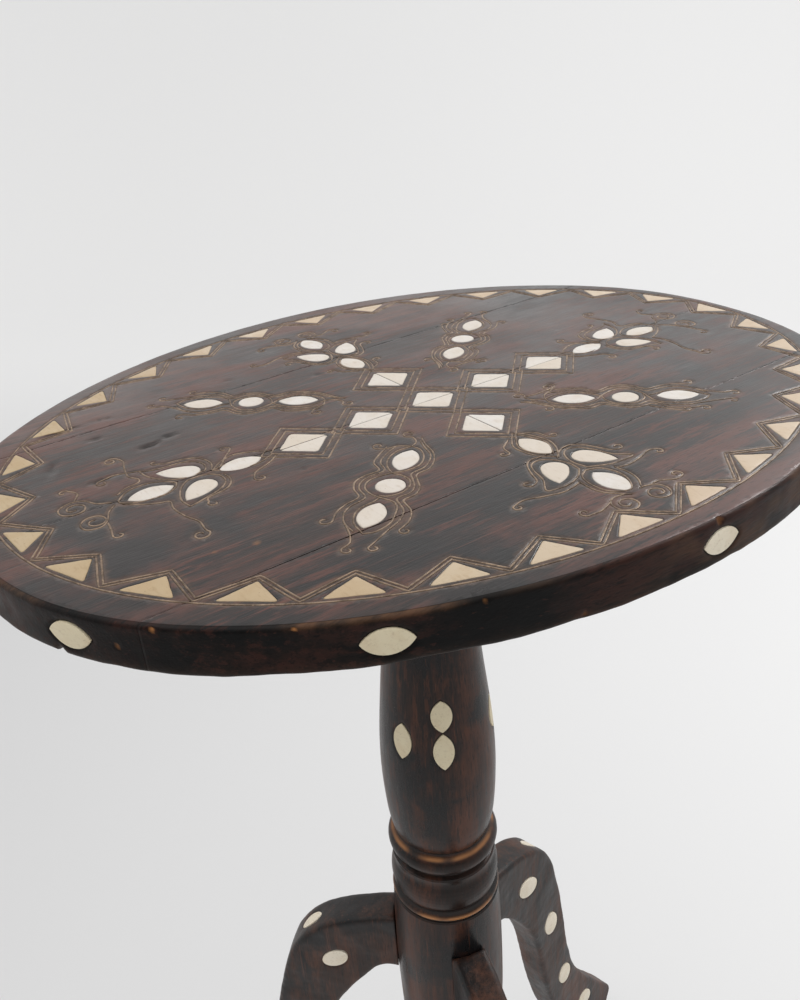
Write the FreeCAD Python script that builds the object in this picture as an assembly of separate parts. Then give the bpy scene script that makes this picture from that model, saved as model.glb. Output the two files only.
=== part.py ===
import FreeCAD, Part
import os
from bisect import bisect
from math import atan2, cos, pi, radians, sin, sqrt, tan

# Small oval table on a turned column with three sawn bracket legs, inlaid with bone and wire.
# Millimetres, Z up, +X along the oval's long axis. The model is built round the column's axis
# with the floor at zero, and moved at the end so that its footprint's middle is the origin.

V = FreeCAD.Vector
UP = V(0, 0, 1)
os.makedirs("parts", exist_ok=True)

# Overall sizes
table_height = 660.0
top_length = 400.0
top_width = 314.0
top_thickness = 18.2
overrun = 4.0

# The top sits a little off the column, and its inlay a little off the oval's middle
top_offset_x = 6.2
top_offset_y = 1.2
inlay_offset_x = 0.0
inlay_offset_y = -5.4
border_offset_x = 2.1
border_offset_y = 0.4

# Hand-sawn outline: radius at even angles, as shares of the true oval
rim_shares = (0.985, 1.000, 1.012, 1.018, 1.012, 0.998, 0.996, 1.008,
              0.995, 1.005, 1.000, 0.988, 0.993, 1.008, 1.010, 1.003)
rim_top_round = 3.0
rim_bottom_round = 2.0

# Boards: joints measured from the oval's middle, slants in degrees
joint_places = (-81.4, -2.4, 74.6)
joint_slants = (1.0, 0.3, 2.0)
dowel_radius = 3.0
dowel_length = 28.0
dowel_gap = 0.1
dowel_shares = (-0.75, -0.3, 0.3, 0.75)

# Bearer under the boards, with its screws
bearer_length = 230.0
bearer_width = 64.0
bearer_thickness = 16.0
bearer_bevel = 10.0
screw_spacing = 38.0
screw_length = 25.0
screw_radius = 2.0
screw_head_radius = 4.0
screw_head_height = 2.6
screw_slot_width = 1.0
screw_slot_depth = 1.0
screw_gap = 0.1

# Column: radii, and the heights of its turned members
column_radius = 31.5
collar_radius = 30.0
collar_height = 20.0
shoulder_bead_radius = 25.0
shoulder_bead_height = 9.0
bead_radius = 31.4
bead_end_radius = 26.9
bead_height = 14.0
foot_quirk_radius = 25.9
foot_quirk_height = 2.2
neck_radius = 26.3
neck_height = 3.3
lip_radius = 30.0
cove_radius = 29.2
cove_height = 6.5
band_radius = 31.3
band_end_radius = 29.5
band_height = 18.0
ring_radius = 31.5
ring_end_radius = 29.8
ring_height = 5.8
quirk_radius = 28.8
quirk_height = 1.6
drum_radius = 32.9
drum_end_radius = 31.3
drum_length = 138.0
drum_above_legs = 26.0
drum_foot_height = 9.0
knob_radius = 17.0
knob_height = 22.0
knob_waist_radius = 13.0
foot_shares = (0.3, 0.3)
baluster_shares = ((0.0, 0.870), (0.04, 0.928), (0.10, 0.968), (0.21, 1.0), (0.38, 0.968), (0.5, 0.897),
                   (0.63, 0.813), (0.75, 0.735), (0.88, 0.672), (1.0, 0.65))

# Round tenon at the column's head, spread by a wedge in the bearer
tenon_radius = 14.0
tenon_gap = 0.1
wedge_width = 22.0
wedge_length = 13.0
wedge_thickness = 3.0
wedge_tip_thickness = 0.8

# Legs: azimuths in degrees, and a sawn outline in shares of reach and height
leg_azimuths = {"right": 15.0, "left": 135.0, "front": -105.0}
leg_reach = 206.5
leg_height = 325.0
leg_thickness = 22.0
leg_round = 3.0
leg_outer_shares = ((0.273, 0.982), (0.400, 0.945), (0.488, 0.878), (0.541, 0.780), (0.590, 0.640),
                    (0.629, 0.500), (0.683, 0.384), (0.771, 0.280), (0.890, 0.165), (1.0, 0.066))
leg_inner_shares = ((0.200, 0.857), (0.244, 0.832), (0.298, 0.788), (0.371, 0.712), (0.432, 0.590),
                    (0.468, 0.480), (0.502, 0.393), (0.548, 0.300), (0.622, 0.190), (0.700, 0.085),
                    (0.745, 0.0))
leg_root_share = 0.851
sole_end_share = 0.965
leg_root_inset = 3.0
leg_scribe_gap = 0.2
leg_tenon_thickness = 10.0
leg_tenon_depth = 14.0
leg_tenon_shoulder = 8.0
leg_tenon_gap = 0.15

# Bone: thickness, the dark gap round each piece and the size of each kind. The border's pieces
# slip along it by these shares of their spacing: all alike, once round and twice round
bone_thickness = 1.8
bone_gap = 0.25
diamond_half = 11.6
diamond_split = 0.5
diamond_round = 1.6
diamond_tip_round = 0.5
diamond_places = (-0.332, -0.166, 0.0, 0.166, 0.332)
diamond_cross_share = 0.226
petal_length = 18.4
petal_width = 10.2
side_petal_length = 17.6
side_petal_width = 10.6
round_radius = 5.7
triangle_base = 20.4
triangle_height = 11.2
triangle_round = 1.4
triangle_skew = 1.0
triangle_count = 30
triangle_slip_shares = (-0.03, -0.21, 0.06)
border_margin = 12.5

# Flowers and sprays, as shares of half the top's length and width
long_flower_shares = (0.476, 0.664, 0.588, 0.064)
cross_flower_shares = (0.426, 0.685, 0.569, 0.050)
side_petal_angle = 35.0
spray_shares = ((0.224, 0.270), (0.309, 0.360), (0.397, 0.449))

# Wire lines: section, and how far each contour stands off the bone
wire_width = 0.9
wire_depth = 1.0
wire_gap = 0.05
contour_offsets = (2.6, 4.4, 6.2)
frame_halves = (15.4, 19.8)
zigzag_offset = 2.6
ring_offset = 1.3

# Rim, column and leg inlay
rim_leaf_start_shares = (-0.553, -0.833)
rim_leaf_slip_shares = (0.0, 0.08, 0.03, -0.04, 0.05, 0.0, -0.05, 0.04, -0.02, 0.1)
rim_leaf_length = 17.3
rim_leaf_width = 9.7
column_leaf_width = 11.0
column_leaf_groups = 3
column_pair_azimuth = -118.6
column_single_turn = -43.2
column_leaves = ((0.0, 158.6, 18.5), (0.0, 180.2, 22.0), (column_single_turn, 176.6, 22.0))
leg_oval_sizes = {"right": (24.0, 15.0), "left": (19.5, 12.6), "front": (20.0, 13.0)}
leg_oval_shares = ((0.354, 0.863, -38.0), (0.500, 0.655, -72.0), (0.605, 0.405, -70.0),
                   (0.772, 0.185, -52.0))
knee_oval_length = 19.0
knee_oval_width = 8.0
knee_shares = (0.430, 0.925)

# Worked out from the sizes above
top_centre = V(top_offset_x, top_offset_y, 0)
top_under = table_height - top_thickness
column_head = top_under - bearer_thickness
drum_top = leg_height + drum_above_legs
drum_bottom = drum_top - drum_length
half_length = top_length / 2
half_width = top_width / 2


def box(corner, far_corner):
    """Block between two corners."""
    size = far_corner - corner
    return Part.makeBox(size.x, size.y, size.z, corner)


def turned(shape, degrees_about_z):
    """Copy of a shape, turned about the column's axis."""
    copy = shape.copy()
    copy.rotate(V(0, 0, 0), UP, degrees_about_z)
    return copy


def fused(shapes):
    """One shape from several that overlap."""
    if len(shapes) == 1:
        return shapes[0]
    return shapes[0].multiFuse(shapes[1:]).removeSplitter()


def offset_corners(points, distance):
    """Corners of a polygon, anticlockwise, moved outwards by a distance on each side."""
    moved = []
    for index, corner in enumerate(points):
        before = (corner - points[index - 1]).normalize()
        after = (points[(index + 1) % len(points)] - corner).normalize()
        outwards = (V(before.y, -before.x, 0) + V(after.y, -after.x, 0)).normalize()
        reach = distance / outwards.dot(V(before.y, -before.x, 0))
        moved.append(corner + outwards * reach)
    return moved


def polygon_wire(points):
    return Part.makePolygon(points + points[:1])


def rounded_wire(points, rounds):
    """Closed wire with an arc of its own radius at each corner."""
    starts = []
    middles = []
    ends = []
    for index, corner in enumerate(points):
        before = (points[index - 1] - corner).normalize()
        after = (points[(index + 1) % len(points)] - corner).normalize()
        half_angle = before.getAngle(after) / 2
        radius = rounds[index]
        inwards = (before + after).normalize()
        centre = corner + inwards * (radius / sin(half_angle))
        starts.append(corner + before * (radius / tan(half_angle)))
        ends.append(corner + after * (radius / tan(half_angle)))
        middles.append(centre - inwards * radius)
    edges = []
    for index in range(len(points)):
        edges.append(Part.Arc(starts[index], middles[index], ends[index]).toShape())
        edges.append(Part.makeLine(ends[index], starts[(index + 1) % len(points)]))
    return Part.Wire(edges)


# Outlines: each gives a function of how far the outline is grown, so that a piece, its pocket
# and the wires round it all come from the same shape

def leaf(length, width):
    """Two arcs that meet in a point at each end."""
    rise = width / 2
    radius = ((length / 2) ** 2 + rise ** 2) / (2 * rise)

    def outline(grow=0):
        tip = sqrt((radius + grow) ** 2 - (radius - rise) ** 2)
        crown = V(0, rise + grow, 0)
        upper = Part.Arc(V(tip, 0, 0), crown, V(-tip, 0, 0))
        lower = Part.Arc(V(-tip, 0, 0), crown * -1, V(tip, 0, 0))
        return Part.Wire([upper.toShape(), lower.toShape()])
    return outline


def drop(length, width):
    """Half circle at the back, and two arcs that meet in a point along +X."""
    back = width / 2
    centre_x = back - length / 2
    run = length / 2 - centre_x
    radius = (run ** 2 + back ** 2) / (2 * back)

    def outline(grow=0):
        side = radius + grow
        high = back + grow
        tip_run = sqrt(side ** 2 - (radius - back) ** 2)
        tip = V(centre_x + tip_run, 0, 0)
        half_turn = atan2(tip_run, radius - back) / 2
        bulge = V(centre_x + side * sin(half_turn), back - radius + side * cos(half_turn), 0)
        crown = V(centre_x, high, 0)
        foot = V(centre_x, -high, 0)
        upper = Part.Arc(tip, bulge, crown)
        round_end = Part.Arc(crown, V(centre_x - high, 0, 0), foot)
        lower = Part.Arc(foot, V(bulge.x, -bulge.y, 0), tip)
        return Part.Wire([upper.toShape(), round_end.toShape(), lower.toShape()])
    return outline


def disc(radius):
    def outline(grow=0):
        return Part.Wire([Part.Circle(V(0, 0, 0), UP, radius + grow).toShape()])
    return outline


def oval(length, width):
    def outline(grow=0):
        major = V(length / 2 + grow, 0, 0)
        minor = V(0, width / 2 + grow, 0)
        return Part.Wire([Part.Ellipse(major, minor, V(0, 0, 0)).toShape()])
    return outline


def polygon(points, rounds):
    def outline(grow=0):
        return rounded_wire(offset_corners(points, grow), [radius + grow for radius in rounds])
    return outline


def diamond(half):
    points = [V(half, 0, 0), V(0, half, 0), V(-half, 0, 0), V(0, -half, 0)]
    return polygon(points, [diamond_round] * len(points))


def diamond_half_piece():
    """The upper half of a split diamond."""
    low = diamond_split / 2
    side = diamond_half - low
    points = [V(side, low, 0), V(0, diamond_half, 0), V(-side, low, 0)]
    return polygon(points, [diamond_tip_round, diamond_round, diamond_tip_round])


def triangle():
    """Border triangle: its base along X, its point towards +Y and a little to one side."""
    points = [V(-triangle_base / 2, 0, 0), V(triangle_base / 2, 0, 0),
              V(triangle_skew, triangle_height, 0)]
    return polygon(points, [triangle_round] * len(points))


# Places for inlay: a point on a surface, the direction of the piece's length and the way out

def place(origin, along, outwards):
    return FreeCAD.Placement(origin, FreeCAD.Rotation(along, outwards.cross(along), outwards, "ZXY"))


def on_top(x, y, turn=0.0):
    """Place on the top face, measured from the middle of the inlay."""
    origin = top_centre + V(inlay_offset_x + x, inlay_offset_y + y, table_height)
    return place(origin, V(cos(radians(turn)), sin(radians(turn)), 0), UP)


def sunk_prism(outline, where, depth, grow=0):
    """The outline at a place, from a depth below the surface to clear above it."""
    solid = Part.Face(outline(grow)).extrude(V(0, 0, depth + overrun))
    solid.translate(V(0, 0, -depth))
    solid.Placement = where.multiply(solid.Placement)
    return solid


def flush_prism(outline, where, depth, grow=0):
    """The outline at a place on a flat face, from a depth up to the face."""
    solid = Part.Face(outline(grow)).extrude(V(0, 0, depth))
    solid.translate(V(0, 0, -depth))
    solid.Placement = where.multiply(solid.Placement)
    return solid


class Inlay:
    """Pieces of one material in pockets: the pieces by node, and what they cut from the wood."""

    def __init__(self):
        self.pieces = {}
        self.pockets = []

    def add(self, node, outline, where, pocket=None):
        """A bone piece in a flat face, with its pocket unless it shares one."""
        self.pieces.setdefault(node, []).append(flush_prism(outline, where, bone_thickness))
        if pocket is None:
            pocket = outline
        if pocket:
            self.pockets.append(sunk_prism(pocket, where, bone_thickness, bone_gap))

    def add_curved(self, node, outline, where, carrier):
        """A bone piece that is dressed flush with a curved surface."""
        piece = sunk_prism(outline, where, bone_thickness).common(carrier)
        self.pieces.setdefault(node, []).extend(piece.Solids)
        self.pockets.append(sunk_prism(outline, where, bone_thickness, bone_gap))


# The top

def rim_curve():
    """The hand-sawn outline as one closed curve round the oval's middle."""
    points = []
    for index, share in enumerate(rim_shares):
        angle = 2 * pi * index / len(rim_shares)
        points.append(V(half_length * share * cos(angle), half_width * share * sin(angle), 0))
    curve = Part.BSplineCurve()
    curve.interpolate(Points=points, PeriodicFlag=True)
    return curve


def top_slab():
    """The whole top before its joints and pockets, with softened edges."""
    slab = Part.Face(Part.Wire([rim_curve().toShape()])).extrude(V(0, 0, top_thickness))
    slab.translate(top_centre + V(0, 0, top_under))
    upper = [edge for edge in slab.Edges if edge.BoundBox.ZMin > table_height - top_thickness / 2]
    slab = slab.makeFillet(rim_top_round, upper)
    lower = [edge for edge in slab.Edges if edge.BoundBox.ZMax < top_under + rim_bottom_round / 2]
    return slab.makeFillet(rim_bottom_round, lower)


def joint_y(index, x):
    """Height of a joint line on the plan, from the oval's middle."""
    return joint_places[index] + x * tan(radians(joint_slants[index]))


def board_strip(index):
    """The part of the plan that one board takes, from the front (0) to the back."""
    reach = top_length
    low = [V(x, -reach, 0) for x in (-reach, reach)]
    high = [V(x, reach, 0) for x in (-reach, reach)]
    if index > 0:
        low = [V(x, joint_y(index - 1, x), 0) for x in (-reach, reach)]
    if index < len(joint_places):
        high = [V(x, joint_y(index, x), 0) for x in (-reach, reach)]
    strip = Part.Face(polygon_wire([low[0], low[1], high[1], high[0]]))
    strip.translate(top_centre + V(0, 0, top_under - overrun))
    return strip.extrude(V(0, 0, top_thickness + 2 * overrun))


def dowels(gap=0):
    """Dowels across the joints, at half the boards' thickness."""
    made = []
    radius = dowel_radius + gap
    length = dowel_length + 2 * gap
    for index, joint in enumerate(joint_places):
        chord = half_length * sqrt(1 - (joint / half_width) ** 2)
        for share in dowel_shares:
            x = chord * share
            middle = top_centre + V(x, joint_y(index, x), top_under + top_thickness / 2)
            made.append(Part.makeCylinder(radius, length, middle - V(0, length / 2, 0), V(0, 1, 0)))
    return made


# Bearer and its fasteners

def bearer_blank():
    """Batten across the boards, with bevelled ends."""
    half = bearer_length / 2
    points = [V(0, -half + bearer_bevel, column_head), V(0, half - bearer_bevel, column_head),
              V(0, half, top_under), V(0, -half, top_under)]
    face = Part.Face(polygon_wire(points))
    face.translate(V(-bearer_width / 2, 0, 0))
    return face.extrude(V(bearer_width, 0, 0))


def screw_rows():
    """A row of screws in each board, midway in the stretch that the bearer covers."""
    ends = [-bearer_length / 2 + bearer_bevel, bearer_length / 2 - bearer_bevel]
    joints = [place_y + top_offset_y for place_y in joint_places]
    limits = [ends[0]] + joints + [ends[1]]
    return [(limits[index] + limits[index + 1]) / 2 for index in range(len(limits) - 1)]


def screw(x, y, gap=0):
    """Slotted countersunk screw, driven upwards from the bearer's underside."""
    foot = V(x, y, column_head)
    head = Part.makeCone(screw_head_radius + gap, screw_radius + gap, screw_head_height, foot)
    shank = Part.makeCylinder(screw_radius + gap, screw_length + gap, foot)
    solid = head.fuse(shank)
    if gap:
        return solid
    reach = screw_head_radius + overrun
    slot = box(foot + V(-reach, -screw_slot_width / 2, -overrun),
               foot + V(reach, screw_slot_width / 2, screw_slot_depth))
    return solid.cut(slot)


def screws(gap=0):
    made = []
    for y in screw_rows():
        for x in (-screw_spacing / 2, screw_spacing / 2):
            made.append(screw(x, y, gap))
    return made


def head_tenon(gap=0):
    return Part.makeCylinder(tenon_radius + gap, bearer_thickness, V(0, 0, column_head))


def wedge(gap=0):
    """Hardwood wedge in the head tenon's saw cut, its thick end up."""
    thick = wedge_thickness / 2 + gap
    thin = wedge_tip_thickness / 2 + gap
    foot = top_under - wedge_length - gap
    points = [V(0, -thin, foot), V(0, thin, foot), V(0, thick, top_under), V(0, -thick, top_under)]
    face = Part.Face(polygon_wire(points))
    face.translate(V(-wedge_width / 2 - gap, 0, 0))
    return face.extrude(V(wedge_width + 2 * gap, 0, 0))


# Column

def profile_arc(start, bulge, end):
    return Part.Arc(V(start[0], 0, start[1]), V(bulge[0], 0, bulge[1]), V(end[0], 0, end[1])).toShape()


def profile_line(start, end):
    return Part.makeLine(V(start[0], 0, start[1]), V(end[0], 0, end[1]))


def column_profile():
    """Half section of the column from its knob to the bearer, as a closed wire."""
    knob_tip = drum_bottom - knob_height
    ring_bottom = drum_top + quirk_height
    band_bottom = ring_bottom + ring_height + quirk_height
    band_top = band_bottom + band_height
    lip = band_top + cove_height
    bead_bottom = lip + neck_height
    bead_top = bead_bottom + bead_height
    baluster_bottom = bead_top + foot_quirk_height
    baluster_top = column_head - collar_height - shoulder_bead_height
    height = baluster_top - baluster_bottom
    edges = []
    at = (0, knob_tip)

    def line_to(radius, z):
        nonlocal at
        edges.append(profile_line(at, (radius, z)))
        at = (radius, z)

    def arc_to(bulge_radius, bulge_z, radius, z):
        nonlocal at
        edges.append(profile_arc(at, (bulge_radius, bulge_z), (radius, z)))
        at = (radius, z)

    arc_to(knob_radius, knob_tip + knob_height / 2, knob_waist_radius, drum_bottom)
    foot_run = drum_end_radius - knob_waist_radius
    arc_to(drum_end_radius - foot_run * foot_shares[0], drum_bottom + drum_foot_height * foot_shares[1],
           drum_end_radius, drum_bottom + drum_foot_height)
    arc_to(drum_radius, (drum_bottom + drum_foot_height + drum_top) / 2, drum_end_radius, drum_top)
    line_to(quirk_radius, drum_top + quirk_height / 2)
    line_to(ring_end_radius, ring_bottom)
    arc_to(ring_radius, ring_bottom + ring_height / 2, ring_end_radius, ring_bottom + ring_height)
    line_to(quirk_radius, band_bottom - quirk_height / 2)
    line_to(band_end_radius, band_bottom)
    arc_to(band_radius, band_bottom + band_height / 2, band_end_radius, band_top)
    arc_to(cove_radius, band_top + cove_height / 2, lip_radius, lip)
    line_to(neck_radius, bead_bottom - neck_height / 2)
    line_to(bead_end_radius, bead_bottom)
    arc_to(bead_radius, bead_bottom + bead_height / 2, bead_end_radius, bead_top)
    line_to(foot_quirk_radius, baluster_bottom - foot_quirk_height / 2)
    line_to(column_radius * baluster_shares[0][1], baluster_bottom)
    points = []
    for height_share, radius_share in baluster_shares:
        points.append(V(column_radius * radius_share, 0, baluster_bottom + height * height_share))
    belly = Part.BSplineCurve()
    belly.interpolate(points)
    edges.append(belly.toShape())
    at = (points[-1].x, points[-1].z)
    arc_to(shoulder_bead_radius, baluster_top + shoulder_bead_height / 2,
           points[-1].x, baluster_top + shoulder_bead_height)
    line_to(collar_radius, column_head - collar_height / 2)
    line_to(collar_radius, column_head)
    line_to(0, column_head)
    line_to(0, knob_tip)
    return Part.Wire(edges)


def column_blank():
    """The turned column before its mortises and pockets."""
    turned_solid = Part.Face(column_profile()).revolve(V(0, 0, 0), UP, 360)
    return turned_solid.fuse(head_tenon()).removeSplitter()


def drum_envelope(gap):
    """The drum grown by a gap, which scribes the legs' shoulders."""
    low = drum_bottom + drum_foot_height
    end_radius = drum_end_radius + gap
    edges = [profile_arc((end_radius, low), (drum_radius + gap, (low + drum_top) / 2),
                         (end_radius, drum_top)),
             profile_line((end_radius, drum_top), (0, drum_top)),
             profile_line((0, drum_top), (0, low)),
             profile_line((0, low), (end_radius, low))]
    return Part.Face(Part.Wire(edges)).revolve(V(0, 0, 0), UP, 360)


# Legs, drawn along +X and turned to their azimuths

def leg_point(shares):
    return V(leg_reach * shares[0], 0, leg_height * shares[1])


def spline(points):
    curve = Part.BSplineCurve()
    curve.interpolate(points)
    return curve


def leg_outer_curve():
    root = V(drum_end_radius - leg_root_inset, 0, leg_height)
    return spline([root] + [leg_point(shares) for shares in leg_outer_shares])


def leg_tenon(gap=0):
    """Tongue that enters the drum, long enough to overlap the leg's root."""
    low = leg_height * leg_root_share + leg_tenon_shoulder - gap
    high = leg_height - leg_tenon_shoulder + gap
    half = leg_tenon_thickness / 2 + gap
    start = drum_radius - leg_tenon_depth - gap
    return box(V(start, -half, low), V(drum_radius + leg_root_inset, half, high))


def leg_blank():
    """Sawn leg with softened edges, its shoulder scribed to the drum, and its tenon."""
    outer = leg_outer_curve()
    inner_root = V(drum_end_radius - leg_root_inset, 0, leg_height * leg_root_share)
    inner = spline([inner_root] + [leg_point(shares) for shares in leg_inner_shares])
    toe = outer.EndPoint
    sole_end = V(leg_reach * sole_end_share, 0, 0)
    heel = inner.EndPoint
    edges = [outer.toShape(), Part.makeLine(toe, sole_end), Part.makeLine(sole_end, heel),
             inner.toShape(), Part.makeLine(inner_root, outer.StartPoint)]
    face = Part.Face(Part.Wire(Part.__sortEdges__(edges)))
    face.translate(V(0, -leg_thickness / 2, 0))
    blank = face.extrude(V(0, leg_thickness, 0))
    soft = []
    for edge in blank.Edges:
        bounds = edge.BoundBox
        flat = bounds.YLength < leg_thickness / 2
        if flat and bounds.ZMax > leg_height * leg_root_share / 2 and bounds.XLength > leg_reach / 2:
            soft.append(edge)
    blank = blank.makeFillet(leg_round, soft)
    return blank.cut(drum_envelope(leg_scribe_gap)).fuse(leg_tenon()).removeSplitter()


def knee_place():
    """Where the knee's oval sits: on the outer curve, along it."""
    curve = leg_outer_curve()
    where = curve.parameter(leg_point(knee_shares))
    along = curve.tangent(where)[0]
    outwards = V(0, 1, 0).cross(along)
    if outwards.z < 0:
        outwards = outwards * -1
    return place(curve.value(where), along, outwards)


def leg_inlay(blank, node, oval_size):
    """Ovals of one length and width on both cheeks of a leg, and one on its knee."""
    inlay = Inlay()
    for reach_share, height_share, slope in leg_oval_shares:
        centre = leg_point((reach_share, height_share))
        along = V(cos(radians(slope)), 0, sin(radians(slope)))
        for side in (V(0, 1, 0), V(0, -1, 0)):
            where = place(centre + side * (leg_thickness / 2), along, side)
            inlay.add(node, oval(*oval_size), where)
    inlay.add_curved(node, oval(knee_oval_length, knee_oval_width), knee_place(), blank)
    return inlay


# Inlay in the top face

def add_diamonds(inlay):
    """Diamonds in two halves, along both middle lines of the top."""
    half_piece = diamond_half_piece()
    places = [("bone_diamonds_long", share * half_length, 0, 0) for share in diamond_places]
    for sign in (-1, 1):
        places.append(("bone_diamonds_cross", 0, sign * diamond_cross_share * half_width, 90))
    for node, x, y, turn in places:
        inlay.add(node, half_piece, on_top(x, y, turn), pocket=diamond(diamond_half))
        inlay.pieces[node].append(flush_prism(half_piece, on_top(x, y, turn + 180), bone_thickness))


def flower_petals(direction):
    """Outlines and places of one flower's petals; direction is its azimuth in degrees."""
    across = direction % 180
    inner, outer, side, spread = cross_flower_shares if across else long_flower_shares
    along_size, across_size = (half_width, half_length) if across else (half_length, half_width)
    out = V(cos(radians(direction)), sin(radians(direction)), 0)
    left = UP.cross(out)
    petals = []
    for share in (inner, outer):
        centre = out * (share * along_size)
        petals.append((leaf(petal_length, petal_width), on_top(centre.x, centre.y, direction)))
    for sign in (-1, 1):
        centre = out * (side * along_size) + left * (sign * spread * across_size)
        turn = direction + sign * side_petal_angle
        petals.append((drop(side_petal_length, side_petal_width), on_top(centre.x, centre.y, turn)))
    return petals


def spray_petals(sign_x, sign_y):
    """Outlines and places of one diagonal spray: a petal, a round and a petal."""
    inner, middle, outer = [V(sign_x * x * half_length, sign_y * y * half_width, 0)
                            for x, y in spray_shares]
    run = outer - inner
    turn = atan2(run.y, run.x) * 180 / pi
    return [(leaf(petal_length, petal_width), on_top(inner.x, inner.y, turn)),
            (disc(round_radius), on_top(middle.x, middle.y)),
            (leaf(petal_length, petal_width), on_top(outer.x, outer.y, turn))]


def plan_face(outline, where, grow=0):
    """The outline at a place on the top, at the depth of the wires."""
    face = Part.Face(outline(grow))
    face.Placement = where.multiply(face.Placement)
    face.translate(V(0, 0, -wire_depth))
    return face


def contour_rings(petals, trim):
    """Wires that follow a group of petals at each stand-off, kept out of the trim faces."""
    rings = []
    for stand_off in contour_offsets:
        wide = fused([plan_face(outline, where, stand_off + wire_width)
                      for outline, where in petals])
        narrow = fused([plan_face(outline, where, stand_off) for outline, where in petals])
        rings += wide.cut([narrow] + trim).Faces
    return rings


def frame_faces(half, grow=0):
    """A square frame's outer shape round each diamond."""
    points = [V(half, 0, 0), V(0, half, 0), V(-half, 0, 0), V(0, -half, 0)]

    def outline(more=0):
        return polygon_wire(offset_corners(points, more))
    places = [on_top(share * half_length, 0) for share in diamond_places]
    for sign in (-1, 1):
        places.append(on_top(0, sign * diamond_cross_share * half_width))
    return [plan_face(outline, where, grow) for where in places]


def frame_wires():
    """Inner square round each diamond, and one line round all the outer squares."""
    inner_half, outer_half = frame_halves
    wires = []
    for wide, narrow in zip(frame_faces(inner_half, wire_width / 2),
                            frame_faces(inner_half, -wire_width / 2)):
        wires += wide.cut(narrow).Faces
    outline = fused(frame_faces(outer_half, wire_width / 2))
    return wires + outline.cut(fused(frame_faces(outer_half, -wire_width / 2))).Faces


# Inlay round the border

def border_point(angle, inset=0):
    """Point on the border's oval, and the direction along it."""
    long_radius = half_length - border_margin - inset
    short_radius = half_width - border_margin - inset
    centre = top_centre + V(border_offset_x, border_offset_y, table_height)
    point = centre + V(long_radius * cos(angle), short_radius * sin(angle), 0)
    along = V(-long_radius * sin(angle), short_radius * cos(angle), 0).normalize()
    return point, along


def border_slip(share):
    """How far round the oval a piece at this share of the way has slipped."""
    steady, once, twice = triangle_slip_shares
    turn = 2 * pi * share
    return (steady + once * cos(turn) + twice * cos(2 * turn)) / triangle_count


def border_angles(count, steps_per_piece=64):
    """Angles that divide the border's oval into nearly equal lengths, from the long axis on."""
    steps = count * steps_per_piece
    lengths = [0]
    before = border_point(0)[0]
    for index in range(1, steps + 1):
        after = border_point(2 * pi * index / steps)[0]
        lengths.append(lengths[-1] + (after - before).Length)
        before = after
    angles = []
    for piece in range(count):
        share = piece / count
        wanted = lengths[-1] * ((share + border_slip(share)) % 1)
        index = bisect(lengths, wanted) - 1
        part = (wanted - lengths[index]) / (lengths[index + 1] - lengths[index])
        angles.append(2 * pi * (index + part) / steps)
    return angles


def add_triangles(inlay):
    """Border triangles that point inwards."""
    for angle in border_angles(2 * triangle_count)[::2]:
        point, along = border_point(angle)
        inlay.add("bone_border_triangles", triangle(), place(point, along, UP))


def zigzag_wire():
    """Wire that rises over each triangle and falls between them."""
    corners = []
    for index, angle in enumerate(border_angles(2 * triangle_count)):
        point, along = border_point(angle)
        if index % 2 == 0:
            peak = triangle_height + zigzag_offset
            point = point + UP.cross(along) * peak + along * triangle_skew
        corners.append(point - UP * wire_depth)
    wide = Part.Face(polygon_wire(offset_corners(corners, wire_width / 2)))
    return wide.cut(Part.Face(polygon_wire(offset_corners(corners, -wire_width / 2)))).Faces


def border_oval(inset):
    """The border's oval as a face at the depth of the wires."""
    centre = top_centre + V(border_offset_x, border_offset_y, table_height - wire_depth)
    long_axis = V(half_length - border_margin - inset, 0, 0)
    short_axis = V(0, half_width - border_margin - inset, 0)
    ellipse = Part.Ellipse(centre + long_axis, centre + short_axis, centre)
    return Part.Face(Part.Wire([ellipse.toShape()]))


def ring_wire():
    """Wire just outside the triangles, all the way round."""
    return border_oval(-ring_offset - wire_width).cut(border_oval(-ring_offset)).Faces


# Inlay on the rim and on the column

def add_rim_leaves(inlay, slab):
    """Leaves lying along the rim's side."""
    curve = rim_curve()
    along_share, across_share = rim_leaf_start_shares
    first = curve.parameter(V(half_length * along_share, half_width * across_share, 0))
    total = curve.length()
    begun = curve.length(curve.FirstParameter, first)
    for index, slip_share in enumerate(rim_leaf_slip_shares):
        along_rim = (begun + total * (index + slip_share) / len(rim_leaf_slip_shares)) % total
        where = curve.parameterAtDistance(along_rim, curve.FirstParameter)
        point = curve.value(where) + top_centre + V(0, 0, top_under + top_thickness / 2)
        along = curve.tangent(where)[0]
        inlay.add_curved("bone_rim_leaves", leaf(rim_leaf_length, rim_leaf_width),
                         place(point, along, along.cross(UP)), slab)


def surface_radius(blank, azimuth, z):
    """How far the column's surface is from its axis at a height."""
    out = V(cos(radians(azimuth)), sin(radians(azimuth)), 0)
    ray = Part.makeLine(V(0, 0, z), V(0, 0, z) + out * (2 * column_radius))
    return blank.common(ray).BoundBox.DiagonalLength


def add_column_leaves(inlay, blank):
    """Upright leaves round the belly: a pair one above the other, then a single one."""
    for group in range(column_leaf_groups):
        for turn, fall, length in column_leaves:
            azimuth = column_pair_azimuth + turn + 360 * group / column_leaf_groups
            z = table_height - fall
            out = V(cos(radians(azimuth)), sin(radians(azimuth)), 0)
            point = out * surface_radius(blank, azimuth, z) + V(0, 0, z)
            inlay.add_curved("bone_column_leaves", leaf(length, column_leaf_width),
                             place(point, UP, out), blank)


# Assembly

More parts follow.
